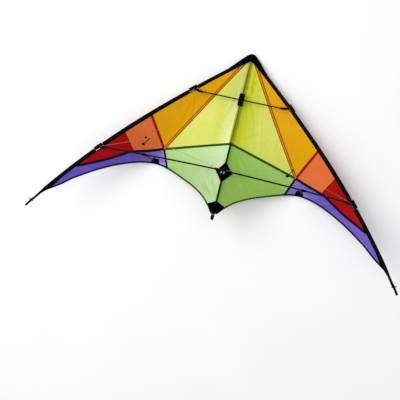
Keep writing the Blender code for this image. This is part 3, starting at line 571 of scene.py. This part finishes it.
crown = edge_at(np.linspace(0.0, nose_at, 90), under_flap)
crown = crown[crown[:, 0] > 0.0]
top = np.vstack([[(0.0, crown[0, 1])], crown])
cuts = {  # four sides in order, columns, rows, grain
    "yellow_green": ([between(top[0], green_end, 160), green_seam, nose_seam[::-1], top[::-1]],
                     168, 116, 8),
    "golden": ([nose_seam, golden_seam, edge_down(nose_at, golden_at)[::-1],
                between(edge_at(nose_at, under_flap), nose_start, 5)], 150, 34, 42),
    "orange": ([evenly(violet_seam[violet_seam[:, 0] <= corner_m[0]], 90), red_seam,
                edge_down(golden_at, red_at)[::-1], golden_seam[::-1]], 44, 44, 35),
    "red": ([violet_seam[violet_seam[:, 0] >= corner_m[0]],
             between(violet_seam[-1], edge_at(violet_at, under_flap), 5),
             edge_down(red_at, violet_at)[::-1], red_seam[::-1]], 84, 36, 35),
    "violet": ([outer_hem, between(outer_hem[-1], edge_at(sail_end, under_flap), 5),
                np.vstack([violet_seam, edge_down(violet_at, sail_end)])[::-1], inner_seam],
               176, 26, 30),
    "light_green": ([inner_hem, inner_seam[::-1], green_seam[::-1],
                     between(green_end, tail_corner, 90)], 110, 60, -8),
}
hands = {"left": -1.0, "right": 1.0}
for word, side in hands.items():
    for colour, cut in cuts.items():
        sail_panel(colour, word, side, *cut)


# Stitching, for every sewn strip: dashes of thread in rows, sunk into the cloth between stitches.
stitch, taken, given = group(
    "stitch_row", {"UV": None, "Row": 0.0, "Pitch": 0.0032, "Width": 0.0007}, ("Thread", "Pull"))
part_uv = split(taken.outputs["UV"])
off_row = maths("ABSOLUTE", maths("SUBTRACT", part_uv[1], taken.outputs["Row"]))
on_row = maths("LESS_THAN", off_row, times(taken.outputs["Width"], 0.5))
dash = maths("FRACT", maths("DIVIDE", part_uv[0], taken.outputs["Pitch"]))
plug(times(on_row, maths("LESS_THAN", dash, 0.72)), given.inputs["Thread"])
plug(ranged(off_row, 0.0, 0.0022, 0.0, 1.0), given.inputs["Pull"])


def sewn(uv, shade, thread, rows, pitch, width):
    """A cloth's colour with rows of stitches on it, and how far off the nearest row is."""
    pull = None
    for row in rows:
        dashes, off = placed(stitch, uv, Row=row, Pitch=pitch, Width=width)
        shade = mixed(times(dashes, 0.8), shade, thread)
        pull = off if pull is None else maths("MINIMUM", pull, off)
    return shade, pull


def strip_cloth(name, edge, middle, thread, rows):
    """Doubled cloth sewn down in rows: the light that comes through is deeper than in the panel."""
    made, shader = material_of(name, 0.6, Specular_IOR_Level=0.05)
    uv, threads, slub, blotches = woven(shader, fine_pitch, 60.0)
    off_middle = maths("ABSOLUTE", split(uv)[1])
    shade = mixed(ranged(off_middle, 0.0008, 0.0022, 1.0, 0.0), edge, middle)
    shade = mixed(ranged(blotches, 0.3, 0.7, 0.0, 0.3), shade, edge)
    shade, pull = sewn(uv, shade, thread, rows, 0.0030, 0.0006)
    painted(shader, shade, slub, 0.45, 0.65)
    bumped(shader, threads, thread_height, 0.5, bumped(shader, pull, 0.0004, 0.7))
    return made


def sewn_strip(name, line, side, width, lift, material):
    """A flat closed strip along a line on the sail: a ring of eight every 3 mm, thickest in the
    middle and thin at its edges, standing proud of the cloth by the lift on both faces."""
    line = evenly(line, max(12, int(run_of(line)[-1] / 0.003)))
    across = np.array([-1.0, -0.88, 0.0, 0.88, 1.0, 0.88, 0.0, -0.88]) * width / 2
    above = np.array([0.0, 0.8, 1.0, 0.8, 0.0, -0.8, -1.0, -0.8]) * lift
    x, y = line.T[:, :, None] + across * square_to(line).T[:, :, None]
    points = np.dstack([side * x, y, sail_height(x, y, side) + above])
    uv = grid_uv(run_of(line), np.append(across, across[0]))
    return skin(name, points, uv, material, ring=True, ends=True)


# Seam bands. Where two panels meet their edges are folded together and sewn flat with two rows of
# stitches, so the seam is four layers thick and shows darker than the cloth on either side.
bands = {
    colour: strip_cloth(f"{colour}_seam_cloth", edge, middle, thread, (-row, row))
    for colour, edge, middle, thread, row in (
        ("green", (44, 86, 4), (34, 74, 0), (62, 102, 16), 0.0026),
        ("orange", (142, 62, 0), (222, 148, 30), (160, 78, 12), 0.0034),
        ("dark_red", (150, 22, 0), (138, 10, 0), (166, 40, 14), 0.0028),
        ("dark_violet", (32, 0, 38), (24, 0, 28), (56, 20, 66), 0.0022),
    )
}
into_nose = nose_start - nose_seam[12]
tucked = nose_start + 0.011 * into_nose / np.linalg.norm(into_nose)
seams = (  # name, line, width, lift, band
    ("green_seam", green_seam, 0.0082, 0.00055, "green"),
    ("orange_seam", np.vstack([between(tucked, nose_start, 12)[:-1], nose_seam]), 0.0100, 0.00065,
     "orange"),
    ("golden_seam", golden_seam, 0.0092, 0.00055, "dark_red"),
    ("red_seam", red_seam, 0.0092, 0.00055, "dark_red"),
    ("violet_seam", violet_seam, 0.0078, 0.00075, "dark_violet"),
    ("inner_seam", inner_seam, 0.0072, 0.00055, "dark_violet"),
)
for word, side in hands.items():
    for name, line, width, lift, colour in seams:
        sewn_strip(f"{name}_{word}", line, side, width, lift, bands[colour])

# Hems. The trailing edge is folded over and sewn, a narrow dark border from wing tip to tail.
green_hem = strip_cloth("green_hem_cloth", (48, 84, 20), (38, 72, 8), (70, 104, 40), (-0.0012,))
violet_hem = strip_cloth("violet_hem_cloth", (34, 12, 74), (28, 4, 60), (62, 40, 110), (-0.0012,))
for word, side in hands.items():
    for name, line, cloth in (("inner_hem", inner_hem, green_hem),
                              ("outer_hem", outer_hem, violet_hem)):
        line = line + 0.0024 * square_to(line)
        sewn_strip(f"{name}_{word}", line, side, 0.0054, 0.0006, cloth)

# Back tape. A tape down the middle of the sail covers the seam that lies behind the spine, on both
# faces of the cloth.
tapes = (  # colour, slot, line, width, edge, middle, thread, row
    ("yellow", "yellow_green_cloth", between((0.0, -0.020), green_end, 100), 0.0110,
     (176, 182, 30), (160, 164, 20), (196, 200, 70), 0.0030),
    ("green", "light_green_cloth", between(green_end, tail_corner, 90), 0.0074,
     (44, 90, 12), (34, 76, 4), (62, 104, 24), 0.0024),
)
for colour, slot, line, width, edge, middle, thread, row in tapes:
    cloth = strip_cloth(f"{colour}_tape_cloth", edge, middle, thread, (-row, row))
    sewn_strip(f"{colour}_back_tape", line, 1.0, width, 0.0005, cloth)


# Spine sleeve. A strip of the yellow-green cloth is wrapped over the spine and sewn down beside it
# from the nose to the green seam. Its colour is painted: olive-brown over the rod, a painted shadow
# of the dark rod showing through the cloth, and beside it the deeper painted shade of the cloth by
# the spine.
def fold_over_rod(stations, radius, flange, lift):
    """A strip over the rod: at each station a curve from the cloth on one side, up over a circle
    round the rod, and down to the cloth on the other side."""
    angle = np.radians(np.linspace(-65.0, 65.0, 13))
    over_x, over_z = radius * np.sin(angle), radius * np.cos(angle)
    x = np.concatenate([[-flange, -0.8 * flange, -0.62 * flange], over_x,
                        [0.62 * flange, 0.8 * flange, flange]])
    low = tent(x, stations[:, None] + 0 * x) + lift
    foot = low[:, [1]] * 0.3
    z = np.concatenate([low[:, :2], low[:, 2:3] * 0.55 + foot * 0.4,
                        np.broadcast_to(over_z, (len(stations), 13)),
                        low[:, -3:-2] * 0.55 + foot * 0.4, low[:, -2:]], axis=1)
    y = np.broadcast_to(stations[:, None], z.shape)
    return np.dstack([np.broadcast_to(x, z.shape), y, z])


sleeve_cloth, shader = material_of("spine_sleeve_cloth", 0.5, Specular_IOR_Level=0.2)
uv, threads, _, blotches = woven(shader, fine_pitch, 60.0)
off_rod = maths("ABSOLUTE", split(uv)[1])
# Painted shadow: olive-brown over the rod, going over to the deeper painted shade of the cloth away
# from it.
shade = mixed(ranged(off_rod, 0.0015, 0.0072, 0.0, 1.0), (96, 88, 2), (188, 194, 40))
shade = mixed(ranged(blotches, 0.35, 0.65, 0.0, 0.35), shade, (110, 104, 8))
plug(shade, shader.inputs["Base Color"])
bumped(shader, threads, thread_height, 0.5)
stations = np.linspace(-0.0148, -0.2860, 120)
points = fold_over_rod(stations, 0.0034, 0.0078, 0.0006)
skin("spine_sleeve_strip", points, grid_uv(stations, np.linspace(-0.0095, 0.0095, points.shape[1])),
     sleeve_cloth, "spine_sleeve", cloth_thickness)


# Black webbing: the heavy cloth of the nose, the sleeves and the patches, a coarse plain weave.
def webbing(name, rows=(), pitch=0.0011):
    """Heavy black cloth: raised threads with painted shade darkening the hollows between them, a
    little dust in soft blotches, and rows of black stitches.
    """
    made, shader = material_of(name, 0.62, Specular_IOR_Level=0.015)
    uv, threads, slub, blotches = woven(shader, pitch, 30.0)
    shade = mixed(ranged(blotches, 0.45, 0.75, 0.0, 0.5), (4, 4, 5), (10, 10, 11))
    # Painted shade: the hollows between the threads are darkened.
    shade = mixed(ranged(threads, 0.0, 1.0, 0.5, 0.0), shade, (2, 2, 3))
    shade, pull = sewn(uv, shade, (22, 22, 25), rows, 0.0036, 0.0009)
    painted(shader, shade, slub, 0.54, 0.72)
    before = bumped(shader, pull, 0.0006, 0.8) if rows else None
    bumped(shader, threads, 0.00022, 0.6, before)
    return made


# Leading-edge sleeves. Each is a strip of heavy black cloth folded round the rod, its two edges
# sewn over the sail's edge from both sides. It's cut away in a notch where a fitting grips the rod.
# Its section runs from 1 at the sewn edge to 0 at the rod's middle, with heights in millimetres.
upper_at, lower_at = 0.2116, 0.5717  # where the fittings grip the rods
notch_half, notch_ramp = 0.0172, 0.0030
sleeve_top, taper_top, sleeve_end = 0.050, 0.793, 0.811
closed = through(mirrored(
    [(1.0, 0.60), (0.82, 0.85), (0.60, 1.8), (0.34, 3.2), (0.05, 3.75), (-0.24, 3.0), (-0.43, 1.3),
     (-0.46, 0.0)], (1.0, -1.0)), 35)
notched = through(mirrored(
    [(1.0, 0.60), (0.96, 0.80), (0.92, 0.95), (0.87, 0.95), (0.82, 0.85), (0.785, 0.6), (0.77, 0.3),
     (0.765, 0.0)], (1.0, -1.0)), 35)
dense = [at + np.linspace(-0.021, 0.021, 61) for at in (upper_at, lower_at)]
stations = np.unique(np.concatenate([np.linspace(sleeve_top, sleeve_end, 190), *dense]))
turn = np.interp(stations, edge_run, edge_heading)
axis = edge_at(stations)
width = np.interp(stations, [taper_top, sleeve_end], [sleeve_flap, 0.0050])
flap = axis - width[:, None] * np.stack([np.cos(turn), np.sin(turn)], axis=-1)
near = np.minimum(np.abs(stations - upper_at), np.abs(stations - lower_at))
opened = np.clip((notch_half - near) / notch_ramp, 0.0, 1.0)
opened = (opened**2 * (3.0 - 2.0 * opened))[:, None, None]
profile = (1.0 - opened) * closed + opened * notched
sleeve_black = webbing("sleeve_webbing", (0.0016, 0.0246))
for word, side in hands.items():
    drop = sail_height(flap[:, 0], flap[:, 1], side) * width / sleeve_flap
    inward = np.stack([-side * np.cos(turn), -np.sin(turn), drop / width], axis=-1)
    inward *= 1.0 / np.linalg.norm(inward, axis=1)[:, None]
    tangent = np.stack([side * np.sin(turn), -np.cos(turn), 0.0 * turn], axis=-1)
    outward = np.cross(tangent, inward) * side
    outward *= np.sign(outward[:, 2:])
    slack = 1.0 + 0.045 * np.sin(stations * 210.0 + 2.0 * np.sin(stations * 43.0 + side))
    slack = slack + 0.03 * np.sin(stations * 95.0)
    depth = profile[..., 1] * 0.001
    depth = np.where(profile[..., 0] < 0.7, depth * slack[:, None], depth)
    reach = profile[..., 0] * np.hypot(width, drop)[:, None]
    base = np.column_stack([axis * (side, 1.0), 0.0 * turn])[:, None]
    points = base + reach[..., None] * inward[:, None] + depth[..., None] * outward[:, None]
    skin(f"edge_sleeve_{word}", points, grid_uv(stations, run_of(points[60])), sleeve_black,
         f"leading_edge_sleeve_{word}", 0.0006)

# Nose patch. Heavy webbing folded over the nose and sewn through, with the three rod ends inside.
# It runs a little way down both leading edges and is rounded at the front and at its two ends.
outer = through([(0.0, 0.0114), (0.0060, 0.0107), edge_at(0.0060, -0.0130),
                 edge_at(0.0178, -0.0122), edge_at(0.0348, -0.0104), edge_at(0.0520, -0.0076),
                 edge_at(0.0660, -0.0057), edge_at(0.0800, -0.0042)], 50)
inner = through([(0.0, -0.0142), (0.0070, -0.0172), edge_at(0.0300, 0.0080),
                 edge_at(0.0500, 0.0077), edge_at(0.0800, 0.0074)], 50)
outer, inner = (mirrored(line[::-1] * (-1.0, 1.0), (-1.0, 1.0)) for line in (outer, inner))
angle = np.linspace(0.0, 2 * np.pi, 40, endpoint=False)
share = 0.5 - 0.5 * np.sign(np.cos(angle)) * np.abs(np.cos(angle)) ** 0.8
height = 0.0054 * np.sign(np.sin(angle)) * np.abs(np.sin(angle)) ** 0.62
from_end = np.minimum(np.arange(len(outer)), np.arange(len(outer))[::-1]) * 0.0014
rounding = np.clip(from_end / 0.0030, 0.0, 1.0)
rounding = np.sqrt(np.maximum(1.0 - (1.0 - rounding) ** 2, 0.05))[:, None]
cross = inner[:, None] + (outer - inner)[:, None] * share[None, :, None]
points = np.dstack([cross, rounding * height])
skin("nose_webbing", points, measured(points, ring=True),
     webbing("nose_webbing_black", (0.0028, 0.0190), 0.0013), "nose_patch",
     ring=True, ends=True)


# Rods. Pultruded glass-fibre rod, ground smooth: almost black, with faint fibres along it.
def fibre_rod(name, grain, tint, gloss):
    """Dark glass-fibre rod: long fine streaks along the grain direction, a few lighter specks."""
    made, shader = material_of(name, gloss, Specular_IOR_Level=0.05, Coat_Weight=0.01,
                               Coat_Roughness=0.25)
    place = add(shader, "TexCoord", out=3)
    squeezed = add(shader, "Mapping", place, None, None, grain)
    streaks = noise(squeezed, 1.0, 4.0, 0.65)
    specks = noise(place, 900.0, 2.0, 0.5)
    shade = mixed(ranged(streaks, 0.35, 0.7, 0.0, 0.6), tint, (22, 27, 14))
    shade = mixed(ranged(specks, 0.62, 0.75, 0.0, 0.5), shade, (38, 40, 32))
    painted(shader, shade, streaks, gloss - 0.08, gloss + 0.14)
    bumped(shader, streaks, 0.0001, 0.4)
    return made


def dress(node, material):
    """The material, alone, on one of the frame's solids."""
    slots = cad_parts[node].data.materials
    slots.clear()
    slots.append(material)


across_rod = fibre_rod("cross_rod_fibre", (9.0, 700.0, 700.0), (10, 28, 2), 0.34)
strut_rod = fibre_rod("strut_rod_fibre", (500.0, 500.0, 12.0), (10, 11, 10), 0.35)
dress("spine", fibre_rod("down_rod_fibre", (700.0, 9.0, 60.0), (18, 50, 0), 0.36))
dress("upper_spreader", across_rod)
for word in hands:
    edge_rod = fibre_rod(f"edge_rod_fibre_{word}", (120.0, 90.0, 500.0), (8, 9, 8), 0.34)
    dress(f"leading_edge_rod_{word}", edge_rod)
    dress(f"lower_spreader_{word}", across_rod)
    dress(f"standoff_{word}", strut_rod)


# Moulded rubber and plastic: the fittings, clips, feet, caps and nocks.
def moulded(name, tint, gloss, coat=0.0):
    """Black moulded rubber or plastic: a fine matt grain, faint scuffs and a little dust."""
    made, shader = material_of(name, gloss, Specular_IOR_Level=0.06, Coat_Weight=coat,
                               Coat_Roughness=0.2)
    place = add(shader, "TexCoord", out=3)
    grain = noise(place, 1680.0, 3.0, 0.6)
    scuffs = noise(place, 70.0, 5.0, 0.65)
    shade = mixed(ranged(scuffs, 0.5, 0.75, 0.0, 0.6), tint, (15, 15, 17))
    painted(shader, shade, scuffs, gloss - 0.08, gloss + 0.15)
    bumped(shader, grain, 0.00015, 0.5)
    return made


rubber = moulded("fitting_rubber", (6, 6, 7), 0.48)
plastic = moulded("clip_plastic", (6, 5, 7), 0.34, 0.04)
for node in ("spine_clip", "centre_tee"):
    dress(node, plastic)
for word in hands:
    for node in ("wing_tip_nock", "upper_fitting", "lower_fitting", "standoff_clip",
                 "standoff_foot"):
        dress(f"{node}_{word}", rubber)

# Patches. Black reinforcement sewn on where the frame works against the sail: a diamond behind the
# centre tee, a five-sided one at the tail, one round each standoff's foot and one at each wing tip.
patch_black = webbing("patch_webbing", pitch=0.0010)


def laid_patch(name, flat, side, lift, over_rod=0.0, node=None):
    """A patch on the cloth: its outline's grid lifted off the tent, and raised to a height over the
    rod, if it goes over it, by a bell curve of the distance from the spine."""
    height = tent(flat[..., 0], flat[..., 1]) + lift
    if over_rod:
        height += (over_rod - height) * np.exp(-((flat[..., 0] / 0.0052) ** 2))
    points = np.dstack([side * flat[..., 0], flat[..., 1], height])
    skin(name, points, measured(points), patch_black, node, 0.0009)


corners = [(-0.0275, -0.3805), (0.0, -0.4160), (0.0275, -0.3805), (0.0, -0.3490)]
diamond = inside([between(corners[k], corners[(k + 1) % 4], 30) for k in range(4)], 30, 30)
laid_patch("centre_patch_webbing", diamond, 1.0, 0.0016, 0.0036, "centre_patch")
tail_edge = np.array([(0.0106, -0.5172), (0.0176, -0.5080), (0.0232, -0.4982), (0.0272, -0.4880)])
shoulder = between(tail_edge[-1], (0.0, -0.4770), 14)
tail_sides = [between(tail_edge[0] * (-1.0, 1.0), tail_edge[0], 20), through(tail_edge, 30),
              mirrored(shoulder, (-1.0, 1.0)), through(tail_edge[::-1] * (-1.0, 1.0), 30)]
laid_patch("tail_patch_webbing", inside(tail_sides, 41, 24), 1.0, 0.0022, 0.0038, "tail_patch")
outer_top, inner_top = (0.2520, -0.3735), (0.2345, -0.3735)
foot_hem = outer_hem[(outer_hem[:, 0] > 0.2275) & (outer_hem[:, 0] < 0.2600)]
foot_patch = inside(
    [foot_hem, between(foot_hem[-1], outer_top, 12), between(outer_top, inner_top, 12),
     between(inner_top, foot_hem[0], 12)], 26, 16)
tip_hem, tip_edge = outer_hem[-16:], edge_at(np.linspace(0.802, 0.700, 60), 0.0055)
tip_patch = inside([tip_hem, between(tip_hem[-1], tip_edge[0], 8), tip_edge,
                    between(tip_edge[-1], tip_hem[0], 8)], 60, 12)
for word, side in hands.items():
    laid_patch(f"trailing_edge_patch_webbing_{word}", foot_patch, side, 0.0022,
               node=f"trailing_edge_patch_{word}")
    laid_patch(f"wing_tip_webbing_{word}", tip_patch, side, 0.0016)


# Bridles. Three legs of thin braided line a side, knotted at the frame and drawn together at the
# tow point, where a short dark tail with a stopper knot takes the flying line.
def braided(name, tint, pale, pitch=0.0016, level=0.1):
    """Braided line: strands that cross on a slant as two sets of ridges round it, their crowns
    painted paler as a painted highlight.
    """
    made, shader = material_of(name, 0.6, Specular_IOR_Level=level)
    uv = add(shader, "UVMap", uv_map="UVMap")
    along, around = split(uv)[:2]
    sets = []
    for sign in (1.0, -1.0):
        slant = maths("MULTIPLY_ADD", around, sign, along)
        sets.append(maths("SINE", times(slant, 2 * math.pi / pitch)))
    ridges = maths("MULTIPLY_ADD", maths("MAXIMUM", *sets), 0.5, 0.5)
    # Painted highlight: the crowns of the ridges are painted paler than the hollows between them.
    plug(mixed(ridges, tint, pale), shader.inputs["Base Color"])
    bumped(shader, ridges, 0.0002, 0.8)
    return made


def round_bar(name, path, radius, material, node=None, up=(0.0, 0.0, 1.0), sides=16):
    """A round bar along a path, closed at its ends, with one radius or one for each point. Its
    rings are square to the path, their top as near to up as it can be."""
    path = np.asarray(path, float)
    tangent = unit(np.gradient(path, axis=0))
    across = unit(np.cross(tangent, up))
    top = np.cross(across, tangent)
    angle = np.linspace(0.0, 2 * np.pi, sides, endpoint=False)
    circle = np.stack([np.cos(angle), np.sin(angle)], axis=-1)
    circle = np.broadcast_to(radius, (len(path),))[:, None, None] * circle
    points = path[:, None] + circle[..., :1] * across[:, None] + circle[..., 1:] * top[:, None]
    skin(name, points, measured(points, ring=True), material, node, ring=True, ends=True)


bridle_line = braided("bridle_braid", (106, 99, 84), (158, 150, 128))
dark_line = braided("tow_line_braid", (3, 3, 4), (13, 13, 16), level=0.03)
tow = np.array([0.218, -0.359, 0.167])
pigtail = np.array([-0.0110, -0.0260, 0.0200])
aim = pigtail / np.linalg.norm(pigtail)
knot_along = 0.0325  # from the tow point to the stopper knot, along the tail
spreader_lift, tee_y = 0.0068, -0.3790
upper, lower = edge_at(upper_at), edge_at(lower_at)
ring = np.linspace(0.0, 2 * np.pi, 41)[:, None]
for word, side in hands.items():
    end = tow * (side, 1.0, 1.0)
    starts = {
        "upper": (side * (upper[0] - 0.0045), upper[1] - 0.0014, spreader_lift + 0.0046),
        "lower": (side * (lower[0] - 0.0070), lower[1], spreader_lift + 0.0052),
        "centre": (side * 0.0090, tee_y, spreader_lift + 0.0060),
    }
    for leg, start in starts.items():
        round_bar(f"bridle_{leg}_line_{word}", between(start, end, 160), 0.00036, bridle_line,
                  f"bridle_{leg}_leg_{word}", (0.3, 0.9, 0.1), 10)
    t = np.linspace(-0.003, 0.0365, 90)
    knots = (0.0012 + 0.0014 * np.exp(-((t / 0.0022) ** 2))
             + 0.0028 * np.exp(-(((t - knot_along) / 0.0030) ** 2)))
    round_bar(f"tow_tail_{word}", end + t[:, None] * aim, knots, dark_line,
              f"tow_line_{word}", (1.0, 0.0, 0.0), 14)
    loop = end + (-0.0052 * side - 0.0004, 0.0, 0.001) + 0.0044 * np.hstack(
        [np.cos(ring) * side, 0.7 * np.sin(ring), 0.2 * np.cos(ring)])
    round_bar(f"tow_loop_{word}", loop, 0.0007, bridle_line, up=(0.1, 0.2, 1.0),
              sides=10)

# Stoppers. Each tail's end knot lies across it, and the left bridle has one more knot of dark line,
# pulled out sideways from the tow point.
bulge = np.sqrt(np.clip(1.0 - np.linspace(-0.98, 0.98, 24) ** 2, 0.04, 1.0))
stoppers = [("left", tow * (-1.0, 1.0, 1.0) + (-0.0126, 0.0, 0.0), 0.0032, 0.0036)]
stoppers += [(f"tail_{word}", tow * (side, 1.0, 1.0) + knot_along * aim, 0.0058, 0.0026)
             for word, side in hands.items()]
for name, middle, half, radius in stoppers:
    path = between(middle - (half, 0.0, 0.0), middle + (half, 0.0, 0.0), 24)
    round_bar(f"tow_stopper_{name}", path, radius * bulge, dark_line)

# Tail cap and tension cords. A moulded cap with a rounded end sits on the spine. Bluish-grey cord
# loops over it and is knotted twice on the tee. The loop is a cord whose pale bluish-grey is also a
# painted highlight for the glossy cap, and the two knots are pale lumps that stand for the painted
# highlight of the tee's glossy boss. Black cord ties each sail corner to its nock, with the cut
# ends of the knot sticking out.
t = np.linspace(0.0, 1.0, 44)
cap_radius = 0.0055 * np.sqrt(np.clip(1.0 - (np.maximum(t - 0.68, 0.0) / 0.32) ** 2, 0.06, 1.0))
round_bar("tail_end_cap", between((0.0, -0.5172, 0.0), (0.0, -0.5392, 0.0), 44), cap_radius,
          plastic, "tail_cap")
# Painted highlight: the cord's pale bluish-grey stands in for the gloss on the tail cap and the
# tee.
highlight_grey_cord = braided("tension_cord_painted_highlight", (76, 80, 116), (146, 152, 196), 0.0022, 0.2)
loop = through(mirrored([(0.0070, -0.5160, 0.0026), (0.0066, -0.5196, 0.0036),
                         (0.0040, -0.5216, 0.0056), (0.0, -0.5222, 0.0068)], (-1.0, 1.0, 1.0)), 60)
round_bar("tail_tension_cord", loop, 0.0010, highlight_grey_cord, up=(0.0, 1.0, 0.3), sides=10)
# Painted highlight: two pale knots on the tee, where its glossy boss shows two lobes of highlight.
for name, x, tall in (("left", -0.0052, 0.0027), ("right", 0.0036, 0.0024)):
    path = between((x - 0.0010, tee_y - 0.0118, 0.0132), (x + 0.0010, tee_y - 0.0034, 0.0132), 24)
    round_bar(f"tee_painted_highlight_knot_{name}", path, tall * bulge, highlight_grey_cord)
ties = (  # name, start, stop, height, radius
    ("tie", edge_at(0.800, 0.0040), edge_at(0.8490, 0.0038), 0.0, 0.0013),
    ("ends", edge_at(0.8500, -0.0080), edge_at(0.8462, 0.0078), 0.0052, 0.0014),
)
for word, side in hands.items():
    for name, start, stop, raised, radius in ties:
        path = np.column_stack([between(start, stop, 30) * (side, 1.0), np.full(30, raised)])
        round_bar(f"tip_cord_{name}_{word}", path, radius, dark_line, sides=10)

# The studio: a pale matt floor, a broad soft key from the kite's left, and soft fill all round.
bpy.ops.mesh.primitive_plane_add(size=30.0, location=(0.0, 0.0, 0.0))
floor = bpy.context.object
floor.name = "floor"
paper, shader = material_of("floor_paper", 0.85)
place = add(shader, "TexCoord", out=3)
soft = noise(place, 3.0, 3.0, 0.5)
plug(mixed(soft, (244, 244, 242), (250, 250, 249)), shader.inputs["Base Color"])
floor.data.materials.append(paper)


def soft_light(name, place, size, power, glossy=True):
    """A round area light, turned towards the kite's middle."""
    lamp = bpy.data.lights.new(name, "AREA")
    lamp.shape, lamp.size, lamp.energy = "DISK", size, power
    made = shown(name, lamp)
    made.location = place
    made.rotation_euler = (-Vector(place)).to_track_quat("-Z", "Y").to_euler()
    made.visible_glossy = glossy


soft_light("key", (-2.47, 1.0, 2.85), 2.8, 75.0)
soft_light("top", (0.4, 0.2, 4.2), 3.0, 45.0, glossy=False)
world = bpy.data.worlds.new("studio")
bpy.context.scene.world = world
world.use_nodes = True
background = world.node_tree.nodes["Background"]
background.inputs["Color"].default_value = (0.95, 0.97, 1.0, 1.0)
background.inputs["Strength"].default_value = 0.58
world.cycles_visibility.glossy = False
bpy.context.scene.view_settings.view_transform = "Standard"
